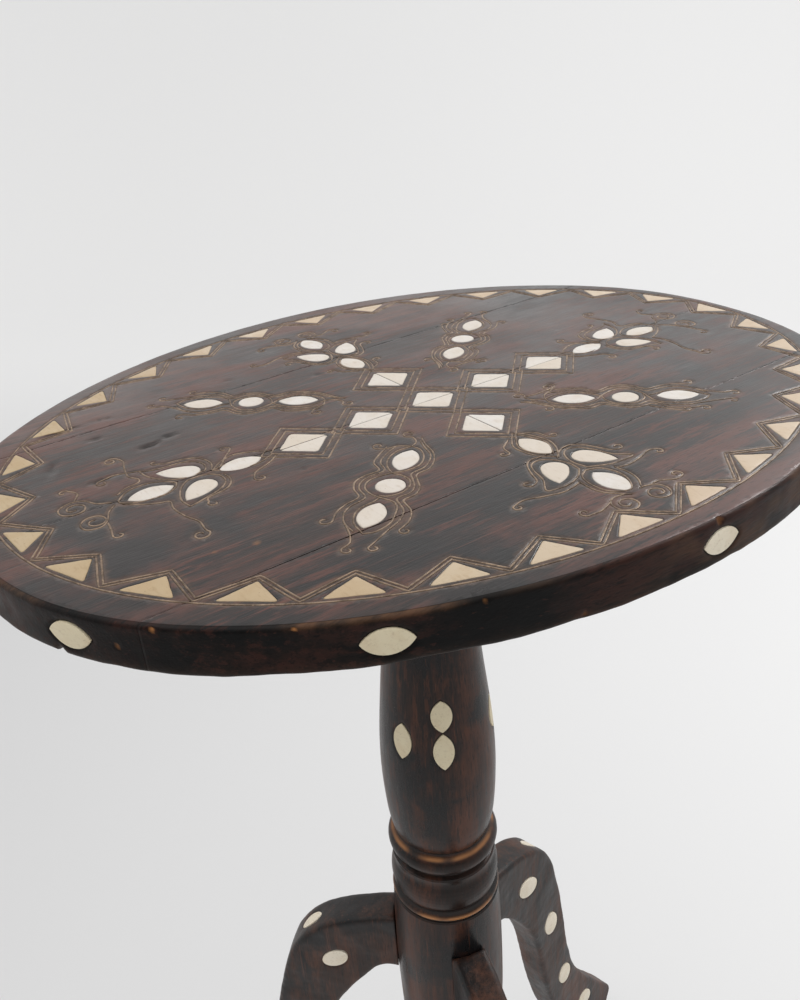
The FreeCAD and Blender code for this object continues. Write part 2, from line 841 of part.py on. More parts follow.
def wire_nodes():
    """The wire lines in the top face as faces at their depth, by node."""
    trim = frame_faces(frame_halves[1], wire_width / 2 + wire_gap)
    flowers = []
    for direction in (0, 90, 180, 270):
        flowers += contour_rings(flower_petals(direction), trim)
    sprays = []
    for sign_x in (-1, 1):
        for sign_y in (-1, 1):
            sprays += contour_rings(spray_petals(sign_x, sign_y), trim)
    return {"wire_diamond_frames": frame_wires(), "wire_flower_outlines": flowers,
            "wire_spray_outlines": sprays, "wire_border_zigzag": zigzag_wire(),
            "wire_border_ring": ring_wire()}


def top_inlay(slab):
    inlay = Inlay()
    add_diamonds(inlay)
    flower_names = {0: "right", 90: "back", 180: "left", 270: "front"}
    for direction, name in flower_names.items():
        for outline, where in flower_petals(direction):
            inlay.add("bone_flower_" + name, outline, where)
    for sign_x, side in ((-1, "left"), (1, "right")):
        for sign_y, depth in ((-1, "front"), (1, "back")):
            for outline, where in spray_petals(sign_x, sign_y):
                inlay.add("bone_spray_" + depth + "_" + side, outline, where)
    add_triangles(inlay)
    add_rim_leaves(inlay, slab)
    return inlay


def build():
    """Every node of the table, as a list of solids under its name."""
    nodes = {}
    slab = top_slab()
    inlay = top_inlay(slab)
    nodes.update(inlay.pieces)
    top = slab.cut(inlay.pockets)
    for node, faces in wire_nodes().items():
        nodes[node] = [face.extrude(V(0, 0, wire_depth)) for face in faces]
        top = top.cut([face.extrude(V(0, 0, wire_depth + overrun)) for face in faces])
    for index, name in enumerate(("front", "middle_front", "middle_back", "back")):
        board = top.common(board_strip(index))
        nodes["top_board_" + name] = board.cut(dowels(dowel_gap) + screws(screw_gap)).Solids
    nodes["board_dowels"] = dowels()
    nodes["top_bearer"] = bearer_blank().cut(screws(screw_gap) + [head_tenon(tenon_gap)]).Solids
    nodes["bearer_screws"] = screws()
    nodes["tenon_wedge"] = [wedge()]

    column = column_blank()
    column_inlay = Inlay()
    add_column_leaves(column_inlay, column)
    nodes.update(column_inlay.pieces)
    mortises = [turned(leg_tenon(leg_tenon_gap), azimuth) for azimuth in leg_azimuths.values()]
    nodes["column"] = column.cut(column_inlay.pockets + mortises + [wedge(tenon_gap)]).Solids

    blank = leg_blank()
    for name, azimuth in leg_azimuths.items():
        node = "bone_leg_ovals_" + name
        ovals = leg_inlay(blank, node, leg_oval_sizes[name])
        leg = blank.cut(ovals.pockets)
        nodes["leg_" + name] = turned(leg, azimuth).Solids
        nodes[node] = [turned(piece, azimuth) for piece in ovals.pieces[node]]
    return nodes


def export(nodes):
    """Moves everything over the footprint's middle and writes one file per node."""
    bounds = FreeCAD.BoundBox()
    for node, solids in nodes.items():
        if node.startswith(("top_board", "leg")):
            for solid in solids:
                bounds.add(solid.optimalBoundingBox(False, False))
    shift = V(-bounds.Center.x, -bounds.Center.y, -bounds.ZMin)
    for node, solids in nodes.items():
        shape = solids[0] if len(solids) == 1 else Part.makeCompound(solids)
        shape = shape.copy()
        shape.translate(shift)
        shape.exportStep("parts/" + node + ".step")
        print(node, len(solids), "solids", round(shape.Volume), "mm3", "valid", shape.isValid())
    print("shift", [round(value, 3) for value in shift], "size",
          [round(value, 2) for value in (bounds.XLength, bounds.YLength, bounds.ZLength)])


export(build())
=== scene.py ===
"""Looks of the inlaid oval tripod table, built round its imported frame. All sizes are in metres."""
import math
import random

import bpy
import numpy as np
from mathutils import Matrix, Vector, geometry, noise
from mathutils.bvhtree import BVHTree
from mathutils.kdtree import KDTree


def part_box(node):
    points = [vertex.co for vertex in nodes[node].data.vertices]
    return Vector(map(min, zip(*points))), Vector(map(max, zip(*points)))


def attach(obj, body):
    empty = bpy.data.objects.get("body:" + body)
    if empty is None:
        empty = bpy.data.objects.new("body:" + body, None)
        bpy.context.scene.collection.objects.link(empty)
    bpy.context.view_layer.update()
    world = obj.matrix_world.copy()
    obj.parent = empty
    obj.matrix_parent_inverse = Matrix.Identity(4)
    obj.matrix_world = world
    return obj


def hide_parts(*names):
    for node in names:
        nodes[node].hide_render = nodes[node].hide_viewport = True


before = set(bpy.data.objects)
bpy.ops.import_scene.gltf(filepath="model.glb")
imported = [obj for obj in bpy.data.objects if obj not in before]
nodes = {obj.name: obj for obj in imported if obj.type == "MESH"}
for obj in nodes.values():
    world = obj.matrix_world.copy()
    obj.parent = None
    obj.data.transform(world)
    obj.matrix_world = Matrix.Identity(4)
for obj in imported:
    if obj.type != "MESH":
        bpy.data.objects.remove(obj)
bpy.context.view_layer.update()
mm = 0.001

boards = ("top_board_front", "top_board_middle_front", "top_board_middle_back", "top_board_back")
triangles_name = "bone_border_triangles"
bone_nodes = ["bone_diamonds_long", "bone_diamonds_cross",
              *("bone_flower_" + side for side in ("right", "back", "left", "front")),
              *("bone_spray_" + side for side in ("front_left", "back_left", "front_right", "back_right")),
              triangles_name]

# The inlay is laid out in shares of the top's half length, from the middle diamond
unit = 200 * mm
mean_radius_share = 0.9
diamond_low, diamond_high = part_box("bone_diamonds_long")
centre = (diamond_low + diamond_high) / 2
centre.z = diamond_high.z
top_level = diamond_high.z
under_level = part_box("top_board_front")[0].z
left_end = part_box("top_board_middle_front")[0].x
right_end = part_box("top_board_middle_front")[1].x
oval_middle = np.array(((left_end + right_end) / 2, centre.y + 5.4 * mm))
column_low, column_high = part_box("column")
column_axis = Vector(((column_low.x + column_high.x) / 2, (column_low.y + column_high.y) / 2, 0))

# The top's edge, its board joints and what wear did to them
frame_round = 3.0 * mm
frame_slack = 0.3 * mm
frame_dent = 0.8 * mm
top_round = 1.8 * mm
under_round = 2.0 * mm
joint_places = (-81.4 * mm, -2.4 * mm, 74.6 * mm)
joint_slants = (1.0, 0.3, 2.0)
joint_width = 0.4 * mm
joint_depth = 0.10 * mm
board_gap = 0.02 * mm

# Bones, their pockets and the wood beside the leaves. A bone's gap below 0 makes the bone larger
pocket_gap = 0.16 * mm
pocket_depth = 1.3 * mm
bone_gap = -0.06 * mm
split_gap = -0.14 * mm
bone_tilt = 0.006
triangle_tip_round = 0.8 * mm
leaf_sink_reach = 1.0 * mm

# Wires, their grooves and the strands that they follow
wire_width = 0.72 * mm
wire_proud = 0.06 * mm
wire_sunk = 0.4 * mm
groove_half = 0.92 * mm
groove_depth = 0.24 * mm
wear_reach = 1.7 * mm
zigzag_half = 0.78 * mm
diamond_frames = (15.4 * mm, 19.8 * mm)
curl_shrink = 0.72
strand_slip = 0.25 * mm

# How fine the meshes are
outline_waves = 12
curl_points = 9
tip_points = 6
edge_step = 1.1 * mm
strand_step = 0.0045
line_step = 1.0 * mm
bone_step = 0.8 * mm
pocket_step = 0.9 * mm
cut_step = 2.2 * mm
grid_step = 2.0 * mm
grid_shake = 0.3
grid_row_share = 0.87
leg_voxel = 1.1 * mm
side_rows = 15
close_rows = (0.5 * mm, 0.95 * mm)
groove_rows = [0.0] + [side * away for away in (wire_width * 0.52, groove_half * 0.82, groove_half * 1.05)
                       for side in (1, -1)]
sheet_cell = 0.36 * mm
sheet_clear = 0.40 * mm


def hum(x, y, z, scale):
    """Smooth noise from -1 to 1 whose lumps are about scale wide."""
    return noise.noise(Vector((x / scale, y / scale, z / scale)))


def ease(value):
    """0 below 0, 1 above 1, smooth between."""
    value = min(1.0, max(0.0, value))
    return value * value * (3 - 2 * value)


def within(value, ends, fade):
    """1 well inside a range, 0 outside it, smooth between."""
    return ease((value - ends[0]) / fade) * ease((ends[1] - value) / fade)


def swell(x, y):
    """How far the old top has moved up or down at a place."""
    return 0.22 * mm * hum(x, y, 0.3, 70 * mm) + 0.07 * mm * hum(x, y * 1.6, 0.7, 16 * mm)


# Outlines read from the frame

def chains(pairs):
    """Closed loops from directed edges given as pairs of keys."""
    following = dict(pairs)
    loops = []
    while following:
        start, here = next(iter(following.items()))
        del following[start]
        loop = [start]
        while here != start and here in following:
            loop.append(here)
            here = following.pop(here)
        loops.append(loop)
    return loops


def top_loops(name):
    """Outlines in plan of the faces of a node that lie in the table's top."""
    mesh = nodes[name].data
    grain = 0.01 * mm
    directed = set()
    place = {}
    for face in mesh.polygons:
        if face.normal.z < 0.9 or face.center.z < top_level - 0.5 * mm:
            continue
        keys = []
        for index in face.vertices:
            co = mesh.vertices[index].co
            key = (round(co.x / grain), round(co.y / grain))
            place[key] = (co.x, co.y)
            keys.append(key)
        directed.update(zip(keys, keys[1:] + keys[:1]))
    border = [(a, b) for a, b in directed if (b, a) not in directed and a != b]
    return [np.array([place[key] for key in loop]) for loop in chains(border) if len(loop) > 2]


def area(loop):
    """Area of a closed outline, below 0 where it runs clockwise."""
    x, y = loop[:, 0], loop[:, 1]
    return 0.5 * float(np.sum(x * np.roll(y, -1) - y * np.roll(x, -1)))


def resample(points, step, closed):
    """Points about a step apart along a line, with its corners kept."""
    points = np.asarray(points, float)
    ends = np.roll(points, -1, 0) if closed else points[1:]
    out = []
    for start, end in zip(points, ends):
        count = max(1, round(float(np.linalg.norm(end - start)) / step))
        for k in range(count):
            out.append(start + (end - start) * k / count)
    if not closed:
        out.append(points[-1])
    return np.array(out)


def directions(points, closed):
    """Unit normals to the left of a line."""
    if closed:
        along = np.roll(points, -1, 0) - np.roll(points, 1, 0)
    else:
        along = np.gradient(points, axis=0)
    along /= np.maximum(np.linalg.norm(along, axis=1, keepdims=True), 1e-9)
    return np.stack((-along[:, 1], along[:, 0]), 1)


def inside(points, loop):
    """Which points lie in a closed outline."""
    x, y = points[:, 0], points[:, 1]
    result = np.zeros(len(points), bool)
    for (ax, ay), (bx, by) in zip(loop, np.roll(loop, -1, 0)):
        crossing = (ay > y) != (by > y)
        if crossing.any():
            result ^= crossing & (x < (bx - ax) * (y - ay) / (by - ay + 1e-15) + ax)
    return result


def oval_outline():
    """The top's side in plan, as a smooth curve through the frame's boards, with normals outwards."""
    angles, radii = [], []
    for name in boards:
        for vertex in nodes[name].data.vertices:
            if abs(vertex.co.z - (top_level - frame_round)) < frame_slack:
                x, y = vertex.co.x - oval_middle[0], vertex.co.y - oval_middle[1]
                if math.hypot(x, y) > 0.7 * unit:
                    angles.append(math.atan2(y, x))
                    radii.append(math.hypot(x, y))
    angles, radii = np.array(angles), np.array(radii)

    def terms(angle):
        waves = [f(k * angle) for k in range(1, outline_waves + 1) for f in (np.cos, np.sin)]
        return np.stack([np.ones_like(angle)] + waves, 1)

    for _ in range(3):
        shares = np.linalg.lstsq(terms(angles), radii, rcond=None)[0]
        error = radii - terms(angles) @ shares
        keep = error > -frame_dent
        angles, radii = angles[keep], radii[keep]
    count = 2 * round(math.pi * (right_end - left_end) * (mean_radius_share / 2) / edge_step)
    around = np.linspace(-math.pi, math.pi, count, endpoint=False)
    radius = terms(around) @ shares
    points = oval_middle + np.stack((radius * np.cos(around), radius * np.sin(around)), 1)
    return points, -directions(points, True)


# Wire lines of the inlay. Their strands follow the photo's, in shares of the half length

def spline(points, step):
    """A smooth line through a few points."""
    points = np.asarray(points, float)
    ends = np.vstack((2 * points[0] - points[1], points, 2 * points[-1] - points[-2]))
    out = []
    for a, b, c, d in zip(ends, ends[1:], ends[2:], ends[3:]):
        count = max(2, math.ceil(float(np.linalg.norm(c - b)) / step))
        for k in range(count):
            t = k / count
            out.append(0.5 * (2 * b + (c - a) * t + (2 * a - 5 * b + 4 * c - d) * t ** 2
                              + (3 * b - a - 3 * c + d) * t ** 3))
    out.append(points[-1])
    return np.array(out)


def xy(*thousandths):
    """Points in shares of the half length, from their x and y by turns in thousandths."""
    return [(x / 1000, y / 1000) for x, y in zip(thousandths[::2], thousandths[1::2])]


def curled(points, eye_thousandths, turns=1.15):
    """A strand whose end winds round an eye."""
    points = [np.array(p, float) for p in points]
    eye = np.array(eye_thousandths) / 1000
    end, before = points[-1], points[-2]
    arm = end - eye
    along = end - before
    sense = 1 if arm[0] * along[1] - arm[1] * along[0] > 0 else -1
    for k in range(1, curl_points + 1):
        t = k / curl_points
        turn = sense * t * turns * math.tau
        reach = 1 - curl_shrink * t
        cos, sin = math.cos(turn) * reach, math.sin(turn) * reach
        points.append(eye + np.array((arm[0] * cos - arm[1] * sin, arm[0] * sin + arm[1] * cos)))
    return points


long_flower_shares = [
    xy(-403, 12, -422, 28, -444, 41, -467, 48, -489, 43, -511, 31, -533, 10),
    xy(-403, -2, -417, -8, -439, -19, -467, -23, -489, -19, -511, -8, -533, 10),
    xy(-547, 19, -539, 28, -533, 48, -542, 73, -567, 89, -608, 91, -633, 98, -647, 109),
    xy(-547, 23, -567, 17, -592, 19, -614, 31, -633, 53, -644, 81, -647, 109),
    xy(-544, 1, -567, 6, -592, 1, -611, -19, -625, -47, -631, -74, -628, -102),
    xy(-544, 1, -531, -19, -531, -44, -542, -63, -561, -77, -594, -91, -628, -102),
    xy(-608, 9, -617, 23, -639, 39, -661, 45, -689, 42, -711, 28, -725, 6, -711, -11, -689, -22, -661, -24,
       -639, -22, -617, -8, -608, 9),
    curled(xy(-533, 14, -522, 37, -521, 59, -533, 87, -561, 102, -592, 106, -605, 114), (-608, 123), 0.7),
    curled(xy(-522, -19, -521, -41, -528, -63, -544, -80, -567, -87, -589, -94, -594, -108), (-589, -119),
           0.7),
    curled(xy(-717, 37, -694, 53, -667, 60, -660, 75, -672, 100, -665, 140, -655, 175, -662, 200), (-675,
           192)),
    curled(xy(-722, -8, -694, -33, -667, -49, -649, -58, -655, -90, -650, -130, -640, -165, -643, -200),
           (-657, -212)),
    curled(xy(-517, 12, -475, 62, -462, 78), (-472, 86), 0.9),
    curled(xy(-403, -12, -430, -35, -470, -55, -482, -73), (-474, -84), 0.9),
    xy(-533, 10, -500, 18, -516, 2),
    curled(xy(-735, 12, -760, 30, -773, 55, -795, 66, -822, 55), (-800, 36), 1.4),
    curled(xy(-735, 0, -752, -20, -765, -48, -782, -66, -806, -60), (-785, -40), 1.4),
    curled(xy(-790, 68, -775, 95, -785, 120), (-795, 117), 0.8),
    curled(xy(-768, -55, -772, -85, -778, -110), (-768, -116), 0.8)]
cross_flower_shares = [
    xy(8, -258, -16, -284, -33, -311, -35, -337, -29, -363, -13, -387, 3, -400),
    xy(6, -258, 21, -274, 34, -305, 37, -337, 26, -368, 8, -392, -5, -403),
    xy(8, -268, -9, -289, -25, -314, -27, -337, -21, -360, -6, -382),
    xy(8, -268, 16, -283, 26, -309, 29, -337, 18, -362, 2, -386),
    curled(xy(-5, -395, -24, -379, -50, -376, -71, -392, -87, -421, -97, -447, -112, -456), (-119, -446),
           0.8),
    xy(-8, -463, -5, -432, -18, -403, -39, -387, -61, -392, -76, -416, -87, -453, -111, -487, -92, -495,
       -61, -495, -29, -482, -8, -463),
    curled(xy(0, -403, 18, -384, 45, -376, 68, -389, 84, -421, 95, -445, 108, -452), (115, -442), 0.8),
    xy(8, -468, 3, -437, 13, -405, 34, -387, 55, -395, 71, -421, 84, -458, 108, -487, 82, -491, 50, -487,
       24, -476, 8, -468),
    xy(-4, -475, -26, -489, -35, -511, -37, -532, -32, -558, -16, -576, 3, -581, 18, -568, 32, -542, 34,
       -511, 22, -486, -4, -475),
    xy(-45, -500, -47, -532, -42, -558, -26, -579, -11, -597),
    xy(47, -500, 49, -537, 39, -566, 24, -586),
    curled(xy(-45, -502, -55, -505, -92, -511, -130, -500, -165, -487, -190, -492), (-190, -502), 0.9),
    curled(xy(47, -505, 76, -511, 113, -503, 143, -494, 160, -500), (157, -510), 0.9),
    curled(xy(-18, -276, -50, -300, -58, -326, -70, -330), (-71, -322), 0.8),
    curled(xy(22, -272, 45, -290, 50, -318, 60, -326), (63, -318), 0.8),
    curled(xy(-11, -597, -20, -588, -48, -585, -66, -602), (-42, -614), 1.4),
    curled(xy(16, -590, 30, -590, 50, -600, 53, -622), (28, -620), 1.4),
    curled(xy(-55, -590, -90, -603, -118, -602), (-120, -590), 0.9),
    curled(xy(40, -592, 65, -592, 90, -608, 108, -606), (106, -594), 0.9)]
spray_shares = [
    xy(-179, -169, -211, -167, -239, -177, -261, -199, -272, -224, -275, -244, -268, -263, -269, -286, -281,
       -305, -300, -316, -317, -318, -336, -313, -347, -299),
    xy(-179, -169, -175, -191, -186, -219, -206, -241, -228, -251, -256, -249, -275, -241, -300, -236, -322,
       -236, -339, -244, -351, -263, -353, -291, -347, -313, -340, -336, -347, -358, -367, -380, -389, -397,
       -422, -405, -444, -397),
    xy(-352, -309, -369, -313, -397, -316, -419, -330, -436, -355, -442, -386, -444, -397),
    curled(xy(-139, -147, -153, -180, -164, -219, -183, -249, -211, -272, -244, -277, -258, -297, -272,
           -324, -297, -341, -322, -344, -328, -358, -336, -386, -361, -413, -384, -424), (-384, -436),
           0.9),
    xy(-150, -158, -162, -188, -173, -223, -192, -246, -216, -262, -250, -268, -264, -290, -278, -315, -300,
       -330, -328, -331, -336, -350, -345, -376, -369, -398, -400, -412),
    curled(xy(-217, -136, -253, -158, -278, -180, -289, -213, -322, -215, -350, -224, -367, -247, -377,
           -280, -411, -288, -439, -302, -461, -324), (-470, -314), 0.8),
    xy(-200, -146, -244, -166, -268, -188, -281, -221, -318, -224, -343, -233, -359, -253, -369, -290, -405,
       -298, -431, -314, -449, -345, -452, -380),
    curled(xy(-179, -169, -196, -150, -222, -142, -236, -132), (-228, -122), 0.9),
    curled(xy(-179, -169, -160, -158, -152, -136, -160, -124), (-148, -117), 0.9),
    curled(xy(-449, -345, -460, -380, -475, -405, -490, -412), (-493, -424), 0.9),
    curled(xy(-400, -412, -430, -425, -457, -437), (-456, -448), 0.9)]
right_spray_scroll_shares = [
    curled(xy(130, -145, 145, -170, 158, -208), (147, -216), 0.9),
    curled(xy(155, -130, 190, -135, 232, -132), (238, -118), 0.9),
    curled(xy(310, -350, 326, -388, 340, -412), (352, -412), 0.9)]
left_end_scroll_shares = [
    curled(xy(-647, 109, -690, 125, -720, 118), (-722, 105), 0.9)]


def mirrored(strands, across, along):
    """Strands with x and y each kept or mirrored."""
    return [[(p[0] * across, p[1] * along) for p in strand] for strand in strands]


def placed(strand):
    """A strand in shares as a smooth line in plan, in metres, with the slips of handwork."""
    line = spline(strand, strand_step) * unit + np.array((centre.x, centre.y))
    for point in line:
        x, y = point
        point[0] += strand_slip * hum(x, y, 5.1, 9 * mm)
        point[1] += strand_slip * hum(x, y, 8.3, 9 * mm)
    return line


def diamond_lines():
    """Frames round each diamond, whose middle lies between its two halves in the frame."""
    lines = []
    for name in ("bone_diamonds_long", "bone_diamonds_cross"):
        halves = [loop.mean(0) for loop in bone_loops[name]]
        for i, half in enumerate(halves):
            nearest = int(np.argsort([float(np.linalg.norm(other - half)) for other in halves])[1])
            if nearest < i:
                continue
            middle = (half + halves[nearest]) / 2
            for reach in diamond_frames:
                corners = [middle + reach * np.array(way) for way in ((1, 0), (0, 1), (-1, 0), (0, -1))]
                lines.append(resample(corners + corners[:1], line_step, False))
    return lines


def paired_lines(name):
    """Middle lines of a closed wire from the two sides of its top face."""
    outer, inner = sorted(top_loops(name), key=lambda loop: -abs(area(loop)))[:2]
    nearest = [inner[int(np.argmin(np.linalg.norm(inner - point, axis=1)))] for point in outer]
    middle = (outer + np.array(nearest)) / 2
    return resample(np.vstack((middle, middle[:1])), line_step, False)


def beside(line, away):
    """Two lines, one on each side of a closed line."""
    path = line[:-1]
    normals = directions(path, True)
    sides = [path + normals * away, path - normals * away]
    return [np.vstack((side, side[:1])) for side in sides]


def all_wires():
    """Every wire line of the top, by the CAD node that it stands for."""
    sprays, flowers = [], []
    for across, along in ((1, 1), (-1, 1), (1, -1), (-1, -1)):
        sprays += mirrored(spray_shares, across, along)
    for across in (1, -1):
        flowers += mirrored(long_flower_shares, across, 1)
    for along in (1, -1):
        flowers += mirrored(cross_flower_shares, 1, along)
    sprays += right_spray_scroll_shares + mirrored(right_spray_scroll_shares, 1, -1)
    flowers += left_end_scroll_shares
    return {
        "wire_flower_outlines": [placed(strand) for strand in flowers],
        "wire_spray_outlines": [placed(strand) for strand in sprays],
        "wire_diamond_frames": diamond_lines(),
        "wire_border_zigzag": beside(paired_lines("wire_border_zigzag"), zigzag_half),
        "wire_border_ring": [paired_lines("wire_border_ring")]}


# Procedural materials

even = (1, 1, 1)
along_x = (0.12, 1.0, 1.0)
along_y = (1.0, 0.12, 1.0)
along_z = (1.0, 1.0, 0.10)


def feed(tree, node, inputs):
    """Links or sets inputs of a shader node."""
    for key, value in inputs.items():
        if isinstance(value, bpy.types.NodeSocket):
            tree.links.new(value, node.inputs[key])
        else:
            node.inputs[key].default_value = value


def add(tree, kind, inputs=None, **settings):
    """A new shader node with its settings and inputs."""
    node = tree.nodes.new("ShaderNode" + kind)
    for name, value in settings.items():
        setattr(node, name, value)
    feed(tree, node, inputs or {})
    return node


def ramp(tree, value, stops):
    node = add(tree, "ValToRGB", {0: value})
    elements = node.color_ramp.elements
    while len(elements) < len(stops):
        elements.new(0.5)
    for element, (place, colour) in zip(elements, stops):
        element.position = place
        element.color = (*colour, 1)
    return node.outputs["Color"]


def grey(tree, value, low, high, bottom=0.0, top=1.0):
    """A value that goes smoothly from bottom at low to top at high."""
    return add(tree, "MapRange", {0: value, 1: low, 2: high, 3: bottom, 4: top},
               interpolation_type="SMOOTHSTEP").outputs[0]


def blend(tree, factor, first, second, kind="MIX"):
    first, second = (c if isinstance(c, bpy.types.NodeSocket) else (*c, 1) for c in (first, second))
    return add(tree, "Mix", {0: factor, 6: first, 7: second}, data_type="RGBA", blend_type=kind).outputs[2]


def layered(tree, colour, layers):
    """A colour with others laid over it, each by its share."""
    for share, layer in layers:
        colour = blend(tree, share, colour, layer)
    return colour


def times(tree, a, b, operation="MULTIPLY"):
    return add(tree, "Math", {0: a, 1: b}, operation=operation).outputs[0]


def toward(tree, way, space="Object"):
    """How far a place lies along a way, in the object's own metres or in another space."""
    place = add(tree, "TexCoord").outputs[space]
    return add(tree, "VectorMath", {0: place, 1: way}, operation="DOT_PRODUCT").outputs["Value"]


def grain_noise(tree, stretch, scale, detail, rough):
    """Noise in the object's own metres, stretched along the grain."""
    coordinates = add(tree, "TexCoord").outputs["Object"]
    mapped = add(tree, "Mapping", {"Vector": coordinates, "Scale": stretch}).outputs[0]
    node = add(tree, "TexNoise", {"Vector": mapped, "Scale": scale, "Detail": detail, "Roughness": rough})
    return node.outputs["Fac"]


def attribute(tree, name):
    return add(tree, "Attribute", attribute_name=name).outputs["Fac"]


def bump(tree, height, strength, distance):
    return add(tree, "Bump", {"Height": height, "Strength": strength, "Distance": distance}).outputs[0]


def begin(name):
    material = bpy.data.materials.new(name)
    material.use_nodes = True
    tree = material.node_tree
    return material, tree, tree.nodes["Principled BSDF"]


def dim(colour, share):
    return [c * share for c in colour]


def dark_wood(name, grain, black, brown, warm, specular, roughness, relief=0.30, streak=0.75, clouds=16.0,
              haze_and_sheen=0.0):
    """Old dark wood: grain along one axis, red-brown streaks, pores, scratches, worn places, haze patches
    that are stronger on the far side as painted sheen, and darkening that is partly grime and partly painted
    shade.
    """
    material, tree, shader = begin(name)
    broad = grain_noise(tree, grain, 48.0, 4.0, 0.6)
    fine = grain_noise(tree, grain, 310.0, 6.0, 0.70)
    pores = grain_noise(tree, grain, 1500.0, 2.0, 0.5)
    scratches = grain_noise(tree, [g * g for g in grain], 900.0, 2.0, 0.5)
    cloud = grain_noise(tree, even, clouds, 5.0, 0.6)
    worn = attribute(tree, "worn")
    layers = [(grey(tree, fine, 0.50, 0.62, 0, streak), warm),
              (grey(tree, fine, 0.47, 0.38, 0, streak), dim(black, 0.5)),
              (grey(tree, cloud, 0.46, 0.62), black)]
    # Lighter warm haze patches, weighted towards the far side of the top: the wood's own bloom, with painted
    # sheen in the far-side weighting
    if haze_and_sheen:
        patches = grain_noise(tree, (0.6, 1.0, 1.0), 13.0, 4.0, 0.55)
        far_side_sheen = grey(tree, toward(tree, (0, 1, 0)), -0.2 * unit, 0.5 * unit, 0.12, 1.0)
        layers.append((times(tree, grey(tree, patches, 0.47, 0.64, 0, haze_and_sheen), far_side_sheen),
                       blend(tree, grey(tree, fine, 0.40, 0.60), *haze_and_sheen_tones)))
    layers += [(grey(tree, pores, 0.56, 0.68, 0, 0.6), dim(black, 0.35)),
               (grey(tree, scratches, 0.64, 0.72, 0, 0.35), dim(warm, 1.8)),
               (times(tree, worn, 0.48), blend(tree, grey(tree, fine, 0.35, 0.65), *worn_tones)),
               (attribute(tree, "bare"), bare_wood),
               # The dark attribute lays on grime in the joints and painted shade in grooves, pocket gaps,
               # crevices and hollows beside leaves
               (attribute(tree, "dark"), grime_and_shade)]
    colour = ramp(tree, broad, ((0.36, black), (0.50, brown), (0.64, warm)))
    gloss = grey(tree, cloud, 0.3, 0.7, roughness + 0.08, roughness - 0.05)
    gloss = times(tree, gloss, grey(tree, fine, 0.35, 0.65, 0, 0.09), "ADD")
    height = times(tree, times(tree, fine, 0.8), times(tree, pores, -0.5), "ADD")
    height = times(tree, height, times(tree, scratches, 0.3), "ADD")
    feed(tree, shader, {"Base Color": layered(tree, colour, layers),
                        "Roughness": times(tree, gloss, times(tree, worn, 0.05), "ADD"),
                        "Specular IOR Level": specular,
                        "Normal": bump(tree, height, relief, 0.4 * mm)})
    return material


def bone_material(name, pale, cream, stain, painted_light_ramp=None):
    """Old bone: fibres, clouds, specks and stained edges. The painted light ramp tints it lighter from one
    place along X to the next, as painted light from the right.
    """
    material, tree, shader = begin(name)
    fibres = grain_noise(tree, (1, 0.25, 1), 700.0, 4.0, 0.6)
    cloud = grain_noise(tree, even, 130.0, 4.0, 0.6)
    specks = grain_noise(tree, even, 900.0, 2.0, 0.5)
    colour = layered(tree, pale, ((attribute(tree, "tone"), cream),
                                  (grey(tree, cloud, 0.42, 0.70, 0, 0.55), cream),
                                  (grey(tree, fibres, 0.52, 0.75, 0, 0.30), stain),
                                  (grey(tree, specks, 0.68, 0.78, 0, 0.55), dim(stain, 0.45)),
                                  (times(tree, attribute(tree, "edge"), 0.55), dim(stain, 0.6))))
    if painted_light_ramp:
        left_x, right_x, left_tint, right_tint = painted_light_ramp
        tint = blend(tree, grey(tree, toward(tree, (1, 0, 0)), left_x, right_x), left_tint, right_tint)
        colour = blend(tree, 1.0, colour, tint, "MULTIPLY")
    feed(tree, shader, {"Base Color": colour,
                        "Roughness": grey(tree, cloud, 0.3, 0.7, 0.40, 0.60),
                        "Specular IOR Level": 0.3,
                        "Normal": bump(tree, times(tree, fibres, specks, "ADD"), 0.18, 0.2 * mm)})
    return material


def metal_material(name, base, dirt, metallic, roughness):
    """Dull metal with clouds of dirt and paler specks."""
    material, tree, shader = begin(name)
    cloud = grain_noise(tree, even, 160.0, 5.0, 0.65)
    specks = grain_noise(tree, even, 960.0, 2.0, 0.5)
    colour = layered(tree, base, ((grey(tree, cloud, 0.40, 0.62), dirt),
                                  (grey(tree, specks, 0.55, 0.7, 0, 0.5), dim(base, 1.6))))
    feed(tree, shader, {"Base Color": colour,
                        "Roughness": grey(tree, cloud, 0.3, 0.7, roughness - 0.08, roughness + 0.12),
                        "Metallic": metallic,
                        "Normal": bump(tree, specks, 0.3, 0.15 * mm)})
    return material


